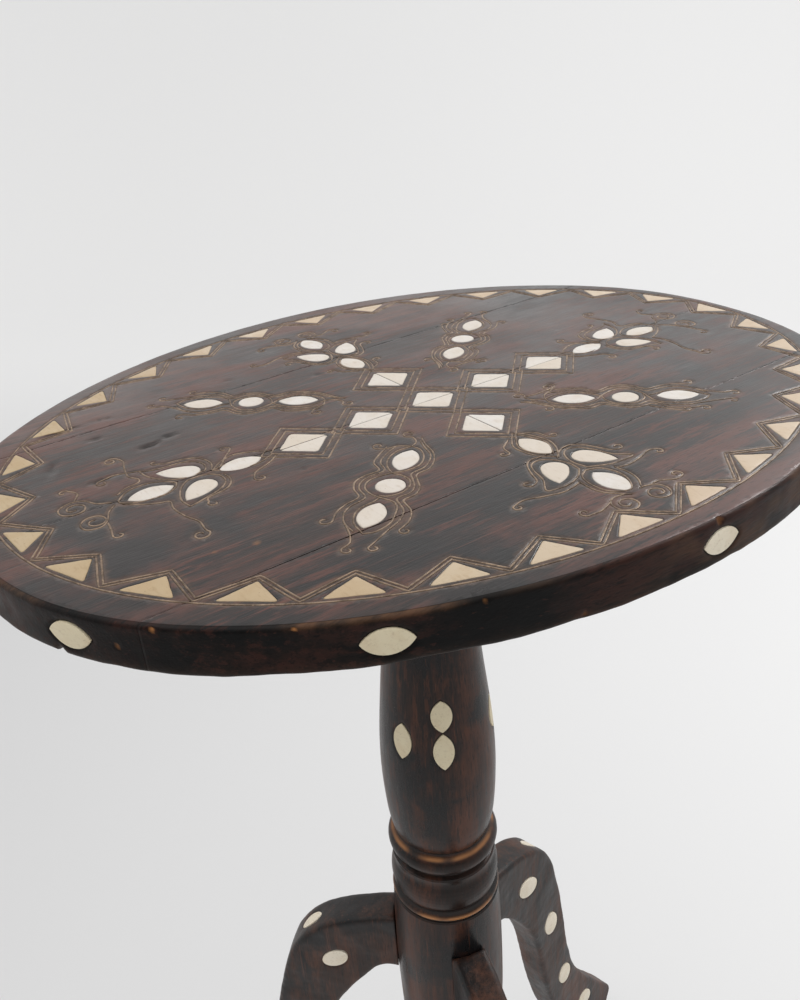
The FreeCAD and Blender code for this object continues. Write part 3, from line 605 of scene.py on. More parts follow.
black, brown, warm = (0.0058, 0.0061, 0.0068), (0.023, 0.012, 0.0095), (0.082, 0.029, 0.0205)
# Lighter warm tones of the haze, which on the far side of the top paint its sheen
haze_and_sheen_tones = ((0.062, 0.038, 0.033), (0.150, 0.088, 0.074))
worn_tones = ((0.058, 0.034, 0.022), (0.150, 0.084, 0.050))
bare_wood = (0.46, 0.20, 0.070)
# Colour of the dark attribute: grime in the joints, painted shade in grooves, gaps, crevices and hollows
grime_and_shade = (0.006, 0.005, 0.0045)
side_tones = ((0.78, 0.69, 0.49), (0.70, 0.58, 0.39), (0.38, 0.27, 0.15))
materials = {
    "top": dark_wood("top_wood", along_x, black, brown, warm, 0.5, 0.32, streak=0.85, haze_and_sheen=0.60),
    # The rim wood is the top's wood dimmed to about 0.4: painted shade on the top's side and under side
    "rim": dark_wood("rim_wood", along_x, dim(black, 0.40), dim(brown, 0.45), dim(warm, 0.42),
                     0.14, 0.36, 0.4),
    "column": dark_wood("column_wood", along_z, dim(black, 1.5), (0.036, 0.0155, 0.0105),
                        (0.088, 0.030, 0.0150), 0.30, 0.26, 0.18, 0.65, 24.0),
    "leg": dark_wood("leg_wood", along_z, dim(black, 1.5), (0.036, 0.018, 0.013),
                     (0.095, 0.037, 0.021), 0.35, 0.36, 0.35, 0.6, 26.0),
    "bearer": dark_wood("bearer_wood", along_y, (0.030, 0.019, 0.012), (0.065, 0.040, 0.024),
                        (0.125, 0.075, 0.042), 0.25, 0.60, 0.4),
    "ivory": bone_material("ivory_bone", (0.66, 0.63, 0.60), (0.60, 0.53, 0.45), (0.38, 0.28, 0.18)),
    # The cream and rim bones are tinted lighter towards the right: painted light from the window side
    "cream": bone_material("cream_bone", (0.60, 0.49, 0.345), (0.55, 0.42, 0.275), (0.34, 0.22, 0.11),
                           (-0.8 * unit, 0.1 * unit, (0.78, 0.75, 0.68), (0.96, 0.98, 1.08))),
    "side": bone_material("side_bone", *side_tones),
    "rim_leaf": bone_material("rim_bone", *side_tones,
                              (-0.4 * unit, -0.05 * unit, (0.97, 0.97, 0.98), (1.15, 1.18, 1.34))),
    "oval": bone_material("oval_bone", (0.90, 0.82, 0.68), (0.82, 0.71, 0.55), (0.42, 0.29, 0.16)),
    "wire": metal_material("inlaid_wire", (0.245, 0.172, 0.114), (0.100, 0.066, 0.042), 0.2, 0.45),
    "steel": metal_material("screw_steel", (0.30, 0.29, 0.28), (0.10, 0.075, 0.06), 1.0, 0.40)}


# Meshes of the pieces

def piece(name, points, faces, looks, attributes, stands_for, face_looks=None):
    """A named mesh that rides on the body and stands for its CAD nodes."""
    mesh = bpy.data.meshes.new(name)
    mesh.from_pydata([tuple(p) for p in points], [], faces)
    mesh.validate()
    mesh.update()
    for label, values in attributes.items():
        layer = mesh.attributes.new(label, "FLOAT", "POINT")
        layer.data.foreach_set("value", np.asarray(values, np.float32))
    for look in looks:
        mesh.materials.append(materials[look])
    if face_looks is not None:
        mesh.polygons.foreach_set("material_index", np.asarray(face_looks, np.int32))
    mesh.shade_smooth()
    made = bpy.data.objects.new(name, mesh)
    bpy.context.scene.collection.objects.link(made)
    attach(made, "root")
    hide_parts(*stands_for)
    return made


def wear_layers(shares):
    """The dark, worn and bare shares of a mesh's points as its attributes."""
    return dict(zip(("dark", "worn", "bare"), np.array(shares).T))


def onward(row):
    """A closed row begun one place on."""
    return row[1:] + row[:1]


def bands(rows):
    """Faces between neighbouring closed rows of points."""
    return [face for low, high in zip(rows, rows[1:]) for face in zip(low, onward(low), onward(high), high)]


def near_tree(lines):
    """A search tree of the plan points of some lines."""
    points = np.vstack(lines)
    tree = KDTree(len(points))
    for index, (x, y) in enumerate(points):
        tree.insert((x, y, 0), index)
    tree.balance()
    return tree


def surface(name):
    """A CAD node's faces, for rays and nearest points."""
    mesh = nodes[name].data
    return BVHTree.FromPolygons([v.co for v in mesh.vertices], [tuple(f.vertices) for f in mesh.polygons])


def sunk(tree, place):
    """How far the wood has sunk beside the nearest leaf, from 0 to 1."""
    return 1 - ease((tree.find_nearest(place)[3] - 0.1 * mm) / leaf_sink_reach)


def keen(loop, tip_round):
    """A rounded triangle with its three corners made keener, from its three longest sides."""
    ends = np.roll(loop, -1, 0)
    longest = sorted(np.argsort(-np.linalg.norm(ends - loop, axis=1))[:3])
    sharp = []
    for one, two in zip(longest, onward(longest)):
        first, second = ends[one] - loop[one], ends[two] - loop[two]
        share = np.linalg.solve(np.stack((first, -second), 1), loop[two] - loop[one])[0]
        sharp.append(loop[one] + first * share)
    points = []
    for before, corner, after in zip(sharp[-1:] + sharp[:-1], sharp, onward(sharp)):
        back, onwards = before - corner, after - corner
        back, onwards = back / np.linalg.norm(back), onwards / np.linalg.norm(onwards)
        half = math.acos(float(back @ onwards)) / 2
        start, stop = (corner + way * tip_round / math.tan(half) for way in (back, onwards))
        for share in np.linspace(0, 1, tip_points):
            points.append(start * (1 - share) ** 2 + corner * 2 * share * (1 - share) + stop * share ** 2)
    return np.array(points)


bone_loops = {name: [loop for loop in top_loops(name) if area(loop) > 0] for name in bone_nodes}
bone_loops[triangles_name] = [keen(loop, triangle_tip_round) for loop in bone_loops[triangles_name]]
wires = all_wires()
wire_tree = near_tree([line for lines in wires.values() for line in lines])
outline, outline_normals = oval_outline()
outline_tree = near_tree([outline])
rim_leaves = surface("bone_rim_leaves")
column_leaves = surface("bone_column_leaves")


def joint_line(index):
    """A point on a board joint and the joint's way."""
    slant = math.radians(joint_slants[index])
    return oval_middle + np.array((0, joint_places[index])), np.array((math.cos(slant), math.sin(slant)))


def joint_distance(x, y):
    """How far a place is from the nearest board joint."""
    best = 1.0
    for index in range(len(joint_places)):
        point, way = joint_line(index)
        best = min(best, abs((x - point[0]) * -way[1] + (y - point[1]) * way[0]))
    return best


def clipped(loop, joint, keep_left):
    """A closed outline cut along a board joint, a little off it."""
    side = 1 if keep_left else -1
    point, way = joint_line(joint)
    normal = np.array((-way[1], way[0]))
    point = point + normal * board_gap * side
    normal = normal * side
    out = []
    for a, b in zip(loop, np.roll(loop, -1, 0)):
        height_a, height_b = (a - point) @ normal, (b - point) @ normal
        if height_a >= 0:
            out.append(a)
        if (height_a >= 0) != (height_b >= 0):
            out.append(a + (b - a) * height_a / (height_a - height_b))
    return np.array(out)


# Gouges in the top: place in thousandths from the middle diamond, length and width in mm, turn, depth in mm
gouges = (
    (-580, 215, 9, 2.4, 12, .9), (-530, 230, 5, 2.0, -8, .8), (-706, 427, 14, 1.2, 4, .8),
    (-615, 430, 8, 1.4, -12, .6), (-780, 240, 12, 1.6, 62, .7), (-720, 120, 10, 1.3, 10, .6),
    (-660, 330, 6, 2.0, 0, .7), (-400, -110, 7, .9, 5, .4), (200, 20, 6, .8, -4, .4),
    (340, 260, 8, .9, 3, .4), (-100, 330, 6, .9, 8, .4), (550, 160, 9, .9, 2, .4),
    (440, -100, 5, .8, -6, .4), (-300, 450, 9, 1.0, 2, .5))
gouge_window = 20 * mm
bare_places = xy(-598, -304, -670, -284, -520, -300)
bare_radius = 1.1 * mm


def top_relief(x, y):
    """Height off the flat top and the dark, worn and bare shares at a place."""
    height = swell(x, y)
    _, _, wire_gap = wire_tree.find((x, y, 0))
    groove = 1 - ease((wire_gap - wire_width / 2) / (groove_half - wire_width / 2))
    height -= groove_depth * groove
    joint = 1 - ease(joint_distance(x, y) / joint_width)
    broken = ease(0.45 + 1.6 * hum(x, y * 0.5, 2.2, 26 * mm))
    height -= joint_depth * joint
    # The dark share is painted shade in the wire grooves, with the joints' own dark at the board joints
    dark = max(groove * (0.25 + 0.45 * hum(x, y, 3.9, 8 * mm)), 0.42 * joint * broken)
    worn = 1 - ease((wire_gap - 0.5 * wear_reach) / (0.6 * wear_reach))
    worn *= 0.80 + 0.6 * hum(x, y, 4.4, 10 * mm)
    for place_x, place_y, length, width, turn, depth in gouges:
        dx, dy = x - centre.x - place_x / 1000 * unit, y - centre.y - place_y / 1000 * unit
        if max(abs(dx), abs(dy)) > gouge_window:
            continue
        cos, sin = math.cos(math.radians(turn)), math.sin(math.radians(turn))
        across = (dy * cos - dx * sin) / (width * mm) + 0.5 * hum(x, y, 1.7, 4 * mm)
        along = (dx * cos + dy * sin) / (length * mm)
        depth_share = 1 - ease(math.hypot(across, along))
        height -= depth * mm * depth_share
        dark = max(dark, 0.75 * ease(depth_share * 1.6))
    bare = 0.0
    for place_x, place_y in bare_places:
        gap = math.hypot(x - centre.x - place_x * unit, y - centre.y - place_y * unit)
        bare = max(bare, 0.35 * (1 - ease(gap / bare_radius + 0.4 * hum(x, y, 6.1, 1.5 * mm))))
    return height, dark, max(0.0, min(1.0, worn)), bare


# Nicks in the top's side: azimuth from the oval's middle in degrees, depth below the top and reach in mm,
# and how bare the wood is
nicks = (
    (-151.8, 1.2, 1.3, .9), (-138.8, 1.2, 1.2, .9), (-155.8, 9.0, 1.1, .35), (-131.0, 12.0, 0.9, .4),
    (-120.0, 1.2, 1.4, .3), (-108.0, 16.0, 1.6, .25), (-87.4, 1.0, 2.4, .2), (-60.0, 1.5, 2.6, .3),
    (-20.0, 14.0, 3.0, .4), (35.0, 2.0, 2.8, .4), (80.0, 16.0, 3.0, .4), (120.0, 1.5, 3.2, .5),
    (165.0, 15.0, 2.6, .4))
nick_span = 3
nick_depth = 0.8 * mm
red_arc, red_fade = (-141.0, -121.0), 3
# Azimuths of ruddy patches on the right front of the side, partly real colour and partly painted light from
# the right
ruddy_and_lit_arc, ruddy_and_lit_fade = (-105.0, -30.0), 20
notch_azimuth = -162.8
notch_reach = 2.2 * mm
notch_rise = 1.8 * mm
notch_depth = 0.6 * mm


def arc(degrees):
    """Length along the top's side."""
    return math.radians(degrees) * mean_radius_share * unit


def apart(azimuth, place):
    return (azimuth - place + 180) % 360 - 180


def rim_point(base, normal, out, level, azimuth):
    """A point of the worn side with its dark, worn and bare shares."""
    x, y = base + normal * out
    along = arc(azimuth)
    drop = top_level - level
    thick = top_level - under_level
    push = 0.30 * mm * hum(x, y, level * 2, 26 * mm) + 0.10 * mm * hum(x, y, level, 5 * mm)
    upper = ease(1 - drop / (1.2 * top_round))
    lower = ease((drop - 0.7 * thick) / (0.3 * thick))
    level += lower * (0.9 * mm * hum(along, 0.5, 0.1, 34 * mm) + 0.25 * mm * hum(along, 1.5, 0.2, 7 * mm))
    level -= upper * (0.10 * mm * (0.5 + hum(along, 2.5, 0.2, 18 * mm)))
    dark = 0.7 * (1 - ease(joint_distance(x, y) / (0.8 * mm)))
    rubbed = within(azimuth, red_arc, red_fade)
    worn = upper * ease(0.1 + 1.4 * hum(along, 3.5, 0.3, 30 * mm) + 0.4 * rubbed) + 0.3 * lower
    # Ruddy worn patches on the right front: partly real colour, partly painted light from the right
    ruddy_and_lit = within(azimuth, ruddy_and_lit_arc, ruddy_and_lit_fade)
    worn = max(worn, 0.90 * ruddy_and_lit * ease(0.4 + 1.5 * hum(along, drop * 1.5, 0.9, 14 * mm)))
    bare = 0.07 * rubbed * upper * ease(0.6 + 2 * hum(along, drop, 0.8, 5 * mm))
    for place, depth, reach, bareness in nicks:
        turn = apart(azimuth, place)
        if abs(turn) > nick_span:
            continue
        gap = math.hypot(arc(turn), (drop - depth * mm) * 1.2) / (reach * mm)
        share = 1 - ease(gap + 0.35 * hum(along, drop, 0.6, 2.5 * mm))
        push -= nick_depth * share
        bare = max(bare, bareness * ease(2.2 * share - 0.5))
    share = lower * (1 - ease(arc(abs(apart(azimuth, notch_azimuth))) / notch_reach))
    level += notch_rise * share
    push -= notch_depth * share
    # Wood sunk beside a rim leaf is darkened: painted shade in the hollow round the leaf
    share = sunk(rim_leaves, Vector((x, y, level)))
    push -= 0.75 * mm * share
    dark = max(dark, 0.9 * share)
    x, y = base + normal * (out + push)
    return (x, y, level), (dark, min(1.0, max(0.0, worn)), bare)


def rim_profile():
    """Rows from the top sheet's border over the edge and down to the under side: outwards and level."""
    rows = []
    upper_arcs, lower_arcs = 7, 4
    for k in range(1, upper_arcs + 1):
        turn = math.radians(90 * k / upper_arcs)
        rows.append((top_round * math.sin(turn), top_level - top_round * (1 - math.cos(turn))))
    high, low = top_level - top_round, under_level + under_round
    for k in range(1, side_rows + 1):
        rows.append((top_round, high + (low - high) * k / side_rows))
    for k in range(1, lower_arcs + 1):
        turn = math.radians(90 * k / lower_arcs)
        rows.append((top_round - under_round * (1 - math.cos(turn)), low - under_round * math.sin(turn)))
    return rows


def board_border(index):
    """One board's outline in plan: the top's edge cut at the board's joints, with points along the cuts."""
    border = outline - outline_normals * top_round
    if index > 0:
        border = clipped(border, index - 1, True)
    if index < len(joint_places):
        border = clipped(border, index, False)
    dense = []
    for a, b in zip(border, np.roll(border, -1, 0)):
        length = float(np.linalg.norm(b - a))
        count = max(1, round(length / cut_step)) if length > 3 * edge_step else 1
        for k in range(count):
            dense.append(a + (b - a) * k / count)
    return np.array(dense)


def board_pockets(border):
    """Outlines of the pockets for the bones that lie on a board."""
    pockets = []
    for loops in bone_loops.values():
        for loop in loops:
            fine = resample(loop, pocket_step, True)
            fine = fine - directions(fine, True) * pocket_gap
            if inside(fine[[0, len(fine) // 2]], border).any():
                pockets.append(fine)
    return pockets


def covered(points, loops):
    """Which points lie in any of some outlines."""
    result = np.zeros(len(points), bool)
    for loop in loops:
        close = np.all((points > loop.min(0)) & (points < loop.max(0)), axis=1)
        result[close] |= inside(points[close], loop)
    return result


def sheet_points(index, border, pockets):
    """Loose points of a board's top sheet: a shaken grid, and rows beside wires, pockets and joints."""
    random.seed(index + 3)
    low, high = border.min(0), border.max(0)
    step = grid_step
    grid = []
    row = 0
    y = low[1] + step / 2
    while y < high[1]:
        x = low[0] + step * (0.5 if row % 2 else 0.0)
        while x < high[0]:
            grid.append((x + random.uniform(-grid_shake, grid_shake) * step,
                         y + random.uniform(-grid_shake, grid_shake) * step))
            x += step
        y += step * grid_row_share
        row += 1
    parts = [np.array(grid)]
    for lines in wires.values():
        for line in lines:
            line = line
            parts += [line + directions(line, False) * away for away in groove_rows]
    for loop in pockets:
        parts += [loop - directions(loop, True) * away for away in close_rows]
    seam = border[np.array([joint_distance(*point) < 2 * board_gap for point in border])]
    inward = np.sign(border.mean(0)[1] - seam[:, 1])
    parts += [seam + np.stack((np.zeros(len(seam)), inward * away), 1) for away in close_rows]
    loose = np.vstack(parts)
    cells = {}
    for point in loose[inside(loose, border)]:
        cells.setdefault((round(point[0] / sheet_cell), round(point[1] / sheet_cell)), point)
    fixed = near_tree([border] + pockets)
    spaced = np.array([p for p in cells.values() if fixed.find((p[0], p[1], 0))[2] > sheet_clear])
    return spaced[~covered(spaced, pockets)]


def sheet(border, pockets, loose):
    """Plan points and triangles of a board's top, between its border and its pockets."""
    vertices, edges = [], []
    for loop in [border] + pockets:
        ring = list(range(len(vertices), len(vertices) + len(loop)))
        vertices += [Vector(p) for p in loop]
        edges += zip(ring, onward(ring))
    vertices += [Vector(p) for p in loose]
    plan, _, triangles, *_ = geometry.delaunay_2d_cdt(vertices, edges, [], 0, 1e-7, False)
    plan = np.array([tuple(p) for p in plan])
    triangles = np.array([tuple(t) for t in triangles])
    middles = plan[triangles].mean(1)
    return plan, triangles[inside(middles, border) & ~covered(middles, pockets)]


def board_mesh(index, name):
    """One board: its top sheet with pockets and grooves, worn side, joint walls and under side."""
    border = board_border(index)
    pockets = board_pockets(border)
    plan, triangles = sheet(border, pockets, sheet_points(index, border, pockets))
    points, shares = [], []
    for x, y in plan:
        height, *look = top_relief(x, y)
        points.append((x, y, top_level + height))
        shares.append(look)
    faces = [tuple(int(i) for i in t) for t in triangles]
    directed = {(a, b) for t in faces for a, b in zip(t, onward(t))}
    loops = chains([(a, b) for a, b in directed if (b, a) not in directed])
    loops.sort(key=lambda loop: -abs(area(plan[loop])))

    for loop in loops[1:]:
        if len(loop) < 3:
            continue
        # Pocket walls and floors are dark, and the wood at each pocket's rim a little darker: painted shade
        # in the gaps round the bones
        floor = list(range(len(points), len(points) + len(loop)))
        for vertex in loop:
            x, y, z = points[vertex]
            points.append((x, y, z - pocket_depth))
            shares.append([1.0, 0.0, 0.0])
            shares[vertex][0] = max(shares[vertex][0], 0.35)
        faces += zip(loop, floor, onward(floor), onward(loop))
        faces.append(tuple(floor[::-1]))
    sheet_faces = len(faces)

    edge = loops[0]
    spots = []
    for spot in plan[edge]:
        _, nearest, _ = outline_tree.find((spot[0], spot[1], 0))
        on_edge = float(np.linalg.norm(outline[nearest] - spot)) < top_round * 1.2
        x, y = spot - oval_middle
        spots.append((spot, outline_normals[nearest], on_edge, math.degrees(math.atan2(y, x))))
    at_joint = [k for k, (one, two) in enumerate(zip(spots, onward(spots))) if not (one[2] and two[2])]
    walls = []
    previous = edge
    for out, level in rim_profile():
        current = list(range(len(points), len(points) + len(edge)))
        for spot, normal, on_edge, azimuth in spots:
            place, look = (spot[0], spot[1], level), (0.8, 0.0, 0.0)
            if on_edge:
                place, look = rim_point(spot, normal, out, level, azimuth)
            points.append(place)
            shares.append(look)
        walls += [len(faces) + k for k in at_joint]
        faces += zip(previous, current, onward(current), onward(previous))
        previous = current
    faces.append(tuple(previous))
    looks = [0] * sheet_faces + [1] * (len(faces) - sheet_faces)
    made = piece(name + "_worn", points, faces, ("top", "rim"), wear_layers(shares),
                 (name,), looks)
    for number in walls + [len(faces) - 1]:
        made.data.polygons[number].use_smooth = False


def bone_mesh(name, look, seed):
    """The bones of one group: hand-cut outlines, softened edges and slightly domed faces."""
    random.seed(seed)
    points, faces, tone, edge = [], [], [], []
    for index, loop in enumerate(bone_loops[name]):
        others = near_tree([resample(other, 0.5 * mm, True)
                            for k, other in enumerate(bone_loops[name]) if k != index])
        fine = resample(loop, bone_step, True)
        wobble = [0.16 * mm * hum(x, y, 3.3, 4 * mm) + 0.05 * mm * hum(x, y, 9.3, 1.2 * mm) for x, y in fine]
        shrink = [split_gap if others.find((x, y, 0))[2] < 0.9 * mm else bone_gap + slip
                  for (x, y), slip in zip(fine, wobble)]
        fine = fine + directions(fine, True) * np.array(shrink)[:, None]
        middle = fine.mean(0)
        lift = swell(*middle)
        tilt = (random.uniform(-1, 1) * bone_tilt, random.uniform(-1, 1) * bone_tilt)
        shade = random.random()
        reach = float(np.mean(np.linalg.norm(fine - middle, axis=1)))
        rings = ((1.0, -pocket_depth), (1.0, -0.10 * mm), (1 - 0.25 * mm / reach, 0.02 * mm),
                 (1 - 0.8 * mm / reach, 0.09 * mm), (0.66, 0.14 * mm), (0.4, 0.15 * mm), (0.16, 0.15 * mm))
        rows = []
        for scale, height in rings:
            rows.append(list(range(len(points), len(points) + len(fine))))
            for x, y in middle + (fine - middle) * scale:
                slope = (x - middle[0]) * tilt[0] + (y - middle[1]) * tilt[1]
                dent = 0.05 * mm * hum(x, y, 2.9, 5 * mm)
                points.append((x, y, top_level + lift + height + slope + dent))
                tone.append(shade)
                edge.append(1.0 if height < -0.05 * mm else (0.3 if height < 0.05 * mm else 0.0))
        faces += [tuple(rows[0][::-1]), *bands(rows), tuple(rows[-1])]
    piece(name + "_cut", points, faces, (look,), {"tone": tone, "edge": edge}, (name,))


def wire_mesh(name, lines):
    """Thin half-round strips along the lines, a little proud of their grooves."""
    points, faces = [], []
    section = ((-0.5, -wire_sunk), (-0.5, -0.12 * mm), (-0.28, wire_proud * 0.6), (0.0, wire_proud),
               (0.28, wire_proud * 0.6), (0.5, -0.12 * mm), (0.5, -wire_sunk))
    wide = len(section)
    for line in lines:
        closed = float(np.linalg.norm(line[0] - line[-1])) < 0.3 * mm
        path = line[:-1] if closed else line
        normals = directions(path, closed)
        start = len(points)
        for k, (x, y) in enumerate(path):
            taper = 1.0 if closed else min(1.0, 0.35 + 0.2 * min(k, len(path) - 1 - k))
            width = wire_width * taper * (1 + 0.22 * hum(x, y, 7.7, 6 * mm))
            lift = swell(x, y) + 0.05 * mm * hum(x, y, 1.1, 5 * mm)
            for share, height in section:
                points.append((x + normals[k][0] * width * share, y + normals[k][1] * width * share,
                               top_level + lift + height))
        rows = [list(range(first, first + wide)) for first in range(start, len(points), wide)]
        for a, b in zip(rows, onward(rows) if closed else rows[1:]):
            faces += [face[::-1] for face in zip(a, b, onward(b), onward(a))]
        if not closed:
            faces += [tuple(rows[0]), tuple(rows[-1][::-1])]
    piece(name + "_drawn", points, faces, ("wire",), {}, (name,))


# The turned column as a fine lathe mesh that follows the frame's own profile

column_step = 1.35 * mm
member_step = 0.4 * mm
column_sides = 184
members = (349 * mm, 407 * mm)
upper_arris, lower_arris = (400.6 * mm, 1.3 * mm), (355.4 * mm, 2.5 * mm)
arris_bare = 0.95
member_dark_fade = 3.0 * mm
crevices = ((386.4 * mm, 1.9 * mm), (359.2 * mm, 1.9 * mm), (402.9 * mm, 1.5 * mm), (351.7 * mm, 1.2 * mm))
clear_azimuths = (-60, -20, 70, 100, 170, 200)


def spoke(angle):
    """A level unit vector."""
    return Vector((math.cos(angle), math.sin(angle), 0))


def on_axis(level):
    return Vector((column_axis.x, column_axis.y, level))


def column_profile():
    """Radius by level, taken from the CAD column by rays from its axis between its leaves."""
    tree = surface("column")
    levels, radii = [], []
    stops = (column_low.z + 0.1 * mm, *members, column_high.z - 0.1 * mm)
    for (low, high), step in zip(zip(stops, stops[1:]), (column_step, member_step, column_step)):
        levels += list(np.linspace(low, high, round((high - low) / step), endpoint=False))
    levels.append(stops[-1])
    for level in levels:
        found = []
        for azimuth in clear_azimuths:
            out = spoke(math.radians(azimuth))
            hit = tree.ray_cast(on_axis(level) + out * 0.25 * unit, -out)[0]
            if hit is not None:
                found.append((hit - on_axis(level)).length)
        radii.append(float(np.median(sorted(found)[-4:])) if found else 10 * mm)
    return zip(levels, radii)


def near_level(level, marks):
    """How near a level is to the nearest of some marked levels with their reach, from 0 to 1."""
    return max(1 - ease(abs(level - mark) / reach) for mark, reach in marks)


def column_mesh():
    """The column with darker members, bare arrises, and painted shade in its crevices and in the wood sunk
    beside its leaves.
    """
    points, shares, rows = [], [], []
    for level, radius in column_profile():
        ring = near_level(level, (upper_arris, lower_arris))
        # The crevices between the members are darkened: painted shade
        crevice = near_level(level, crevices)
        # The members between the two arrises are darker
        member_dark = within(level, (lower_arris[0], upper_arris[0]), member_dark_fade)
        rows.append(list(range(len(points), len(points) + column_sides)))
        for k in range(column_sides):
            azimuth = math.tau * k / column_sides
            base = on_axis(level) + spoke(azimuth) * radius
            push = 0.22 * mm * hum(base.x, base.y, level * 0.5, 22 * mm)
            push += 0.06 * mm * hum(base.x, base.y, level * 0.15, 2.5 * mm)
            shade = max(0.85 * crevice, 0.8 * member_dark * ease(0.7 + hum(azimuth * 2, level * 20, 0.4, 1.0)))
            # Wood sunk beside a column leaf is darkened: painted shade in the hollow round the leaf
            share = sunk(column_leaves, base)
            push -= 0.7 * mm * share
            side = 0.6 + 0.4 * abs(math.sin(azimuth + math.radians(55)))
            bare = arris_bare * ring * side * ease(0.65 + 1.2 * hum(azimuth * 3, level * 60, 0.2, 1.0))
            points.append(base + spoke(azimuth) * push)
            shares.append((max(shade, 0.9 * share), 0.5 * ring, bare))
    faces = [*bands(rows), tuple(rows[0][::-1]), tuple(rows[-1])]
    made = piece("column_turned", points, faces, ("column",), wear_layers(shares),
                 ("column",))
    for face in made.data.polygons[-2:]:
        face.use_smooth = False


# CAD nodes that stay, with softened edges and their own materials

def modify(kept, name, kind, **settings):
    """Adds a modifier with its settings."""
    modifier = kept.modifiers.new(name, kind)
    for key, value in settings.items():
        setattr(modifier, key, value)


def keep_node(name, look):
    """A CAD node that stays, with its look and with its doubled points merged."""
    kept = nodes[name]
    kept.data.materials.clear()
    kept.data.materials.append(materials[look])
    modify(kept, "weld", "WELD", merge_threshold=0.02 * mm)
    return kept


def soften(name, look, width):
    """Rounds the edges of a CAD node."""
    kept = keep_node(name, look)
    modify(kept, "edges", "BEVEL", width=width, segments=3, limit_method="ANGLE",
           angle_limit=math.radians(35))
    kept.data.shade_smooth()


def rub(name, look, voxel):
    """Rubs a CAD node round and gives it slight lumps."""
    kept = keep_node(name, look)
    modify(kept, "voxels", "REMESH", mode="VOXEL", voxel_size=voxel, use_smooth_shade=True)
    modify(kept, "rub", "SMOOTH", iterations=5, factor=0.5)
    lumps = bpy.data.textures.new(name + "_lumps", "CLOUDS")
    lumps.noise_scale = 22 * mm
    lumps.noise_depth = 3
    modify(kept, "knocks", "DISPLACE", texture=lumps, texture_coords="LOCAL", strength=1.3 * mm,
           mid_level=0.5)


for index, name in enumerate(boards):
    board_mesh(index, name)
for index, name in enumerate(bone_nodes):
    cream = name == triangles_name
    bone_mesh(name, "cream" if cream else "ivory", index)
for name, lines in wires.items():
    wire_mesh(name, lines)
column_mesh()
for side in ("right", "left", "front"):
    rub("leg_" + side, "leg", leg_voxel)
    soften("bone_leg_ovals_" + side, "oval", 0.5 * mm)
soften("bone_rim_leaves", "rim_leaf", 1.0 * mm)
soften("bone_column_leaves", "side", 0.8 * mm)
soften("top_bearer", "bearer", 0.6 * mm)
soften("board_dowels", "bearer", 0.3 * mm)
soften("tenon_wedge", "bearer", 0.2 * mm)
soften("bearer_screws", "steel", 0.2 * mm)


# Floor, backdrop, light and camera

sole_dip = 0.35 * mm
stage_reach = 30 * unit
wall_distance = 13 * unit
wall_bend = 5 * unit
bend_arcs = 16
backdrop_turn = math.radians(36)


def backdrop():
    """A pale floor that sweeps up into a wall behind the table."""
    back = Vector((math.sin(backdrop_turn), math.cos(backdrop_turn), 0))
    across = Vector((back.y, -back.x, 0))
    profile = [(-stage_reach, 0.0), (wall_distance, 0.0)]
    for k in range(1, bend_arcs + 1):
        angle = math.radians(90 * k / bend_arcs)
        profile.append((wall_distance + wall_bend * math.sin(angle), wall_bend * (1 - math.cos(angle))))
    profile.append((wall_distance + wall_bend, 2 * stage_reach))
    points = []
    for out, level in profile:
        for side in (-stage_reach, stage_reach):
            points.append(back * out + across * side + Vector((0, 0, level)))
    faces = [(2 * k, 2 * k + 1, 2 * k + 3, 2 * k + 2) for k in range(len(profile) - 1)]
    mesh = bpy.data.meshes.new("backdrop")
    mesh.from_pydata([tuple(p) for p in points], [], faces)
    mesh.shade_smooth()
    sweep = bpy.data.objects.new("backdrop", mesh)
    bpy.context.scene.collection.objects.link(sweep)
    sweep.location.z = -sole_dip
    mesh.materials.append(backdrop_material(across, back))


def backdrop_material(across, back):
    """A pale material that glows towards the camera and in glossy rays, as the photo's surroundings do."""
    material, tree, shader = begin("backdrop")
    cloud = grain_noise(tree, even, 0.8, 3.0, 0.5)
    feed(tree, shader, {"Base Color": blend(tree, cloud, (0.80, 0.80, 0.80), (0.84, 0.84, 0.84)),
                        "Roughness": 0.9, "Specular IOR Level": 0.1})
    to_right = grey(tree, toward(tree, across), -1.2, 1.6)
    floor_glow = blend(tree, to_right, (0.58, 0.58, 0.585), (1.07, 1.07, 1.07))
    wall_glow = blend(tree, to_right, (0.84, 0.84, 0.84), (0.955, 0.955, 0.955))
    behind = grey(tree, toward(tree, back), 3.5 * unit, 11 * unit)
    glow = add(tree, "Emission", {"Color": blend(tree, behind, floor_glow, wall_glow), "Strength": 1.0})
    level = toward(tree, (0, 0, 1))
    rise = grey(tree, level, 1.05, 1.5, 0.70, 2.3)
    fall = grey(tree, level, 1.6, 2.15, 1.0, 0.40)
    tint = blend(tree, to_right, (0.90, 0.855, 0.84), (0.94, 0.935, 0.93))
    sheen = add(tree, "Emission", {"Color": tint, "Strength": times(tree, rise, fall)})
    shown = shader.outputs[0]
    path = add(tree, "LightPath").outputs
    for ray, share, emission in (("Is Camera Ray", 0.75, glow), ("Is Glossy Ray", 0.9, sheen)):
        shown = add(tree, "MixShader", {0: times(tree, path[ray], share), 1: shown,
                                        2: emission.outputs[0]}).outputs[0]
    feed(tree, tree.nodes["Material Output"], {"Surface": shown})
    return material


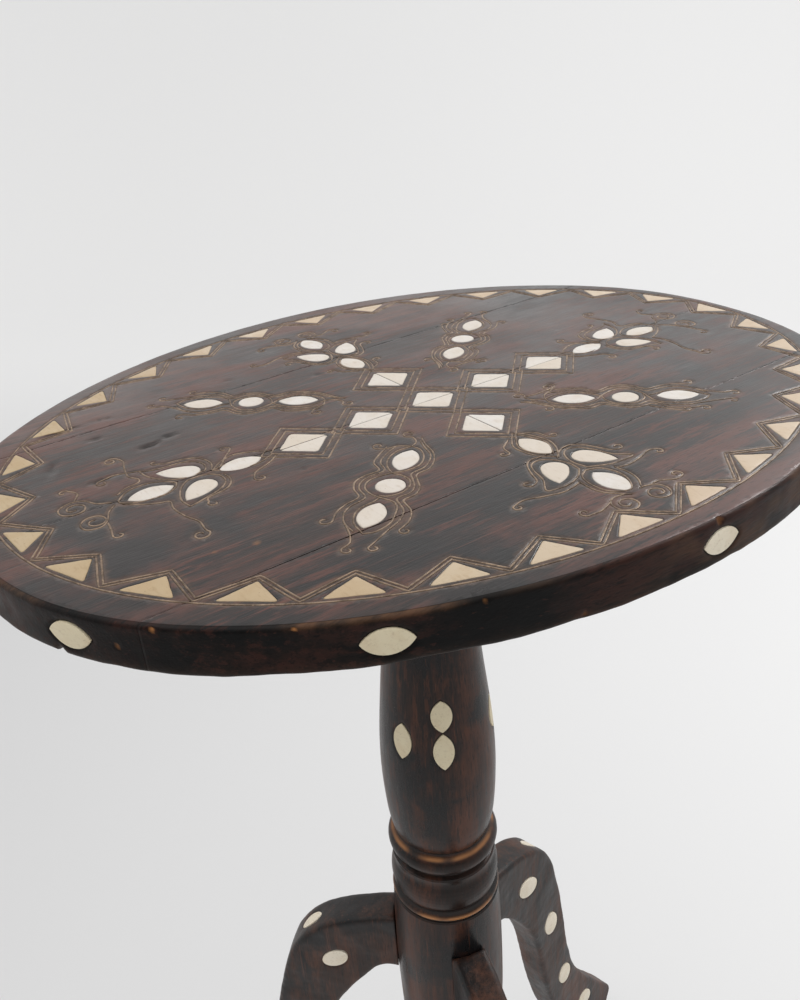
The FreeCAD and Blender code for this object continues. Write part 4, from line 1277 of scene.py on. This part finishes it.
# The room's light
room_bright, room_dim = 0.92, 0.22
room_colour = (1.0, 0.99, 0.975, 1)
camera_side = (-0.58, -0.81, 0.0)


def surround():
    """An even bright room, dimmer on the camera's side."""
    world = bpy.data.worlds.new("room")
    bpy.context.scene.world = world
    world.use_nodes = True
    tree = world.node_tree
    front = toward(tree, camera_side, "Generated")
    level = toward(tree, (0, 0, 1), "Generated")
    dimmed = times(tree, grey(tree, front, -0.1, 0.75), grey(tree, level, 0.15, 0.75, 1.0, 0.0))
    strength = add(tree, "MapRange", {0: dimmed, 1: 0.0, 2: 1.0, 3: room_bright, 4: room_dim}).outputs[0]
    feed(tree, tree.nodes["Background"], {"Color": room_colour, "Strength": strength})


# Lamps: name, place from the top's middle and size in half lengths, power in watts
lamps = (("window", (5.93, 0.83, 4.5), (1.2, 1.6), 8), ("ceiling", (-2.0, 1.0, 9.0), (8, 8), 12))


def soft_lamp(name, place, size, power):
    """An area lamp that looks at the middle of the top."""
    data = bpy.data.lights.new(name, "AREA")
    data.shape = "RECTANGLE"
    data.size, data.size_y = (side * unit for side in size)
    data.energy = power
    lamp = bpy.data.objects.new(name, data)
    bpy.context.scene.collection.objects.link(lamp)
    aim = Vector((centre.x, centre.y, top_level))
    lamp.location = aim + Vector(place) * unit
    lamp.rotation_euler = (aim - lamp.location).to_track_quat("-Z", "Y").to_euler()


backdrop()
surround()
for lamp in lamps:
    soft_lamp(*lamp)

# The camera fitted to the photo: its place from the middle diamond in half lengths, and its turn
camera_place = Vector((-1.131409, -1.57639, 0.781008))
camera_lens = 33.595
camera_turn = Matrix(((0.817036, 0.317179, -0.481507),
                      (-0.572796, 0.350902, -0.740792),
                      (-0.066002, 0.881059, 0.468379)))
camera_data = bpy.data.cameras.new("camera")
camera = bpy.data.objects.new("camera", camera_data)
bpy.context.scene.collection.objects.link(camera)
bpy.context.scene.camera = camera
camera_data.sensor_width = 36
camera_data.lens = camera_lens
camera.matrix_world = Matrix.Translation(centre + unit * camera_place) @ camera_turn.to_4x4()
bpy.context.scene.view_settings.view_transform = "Standard"
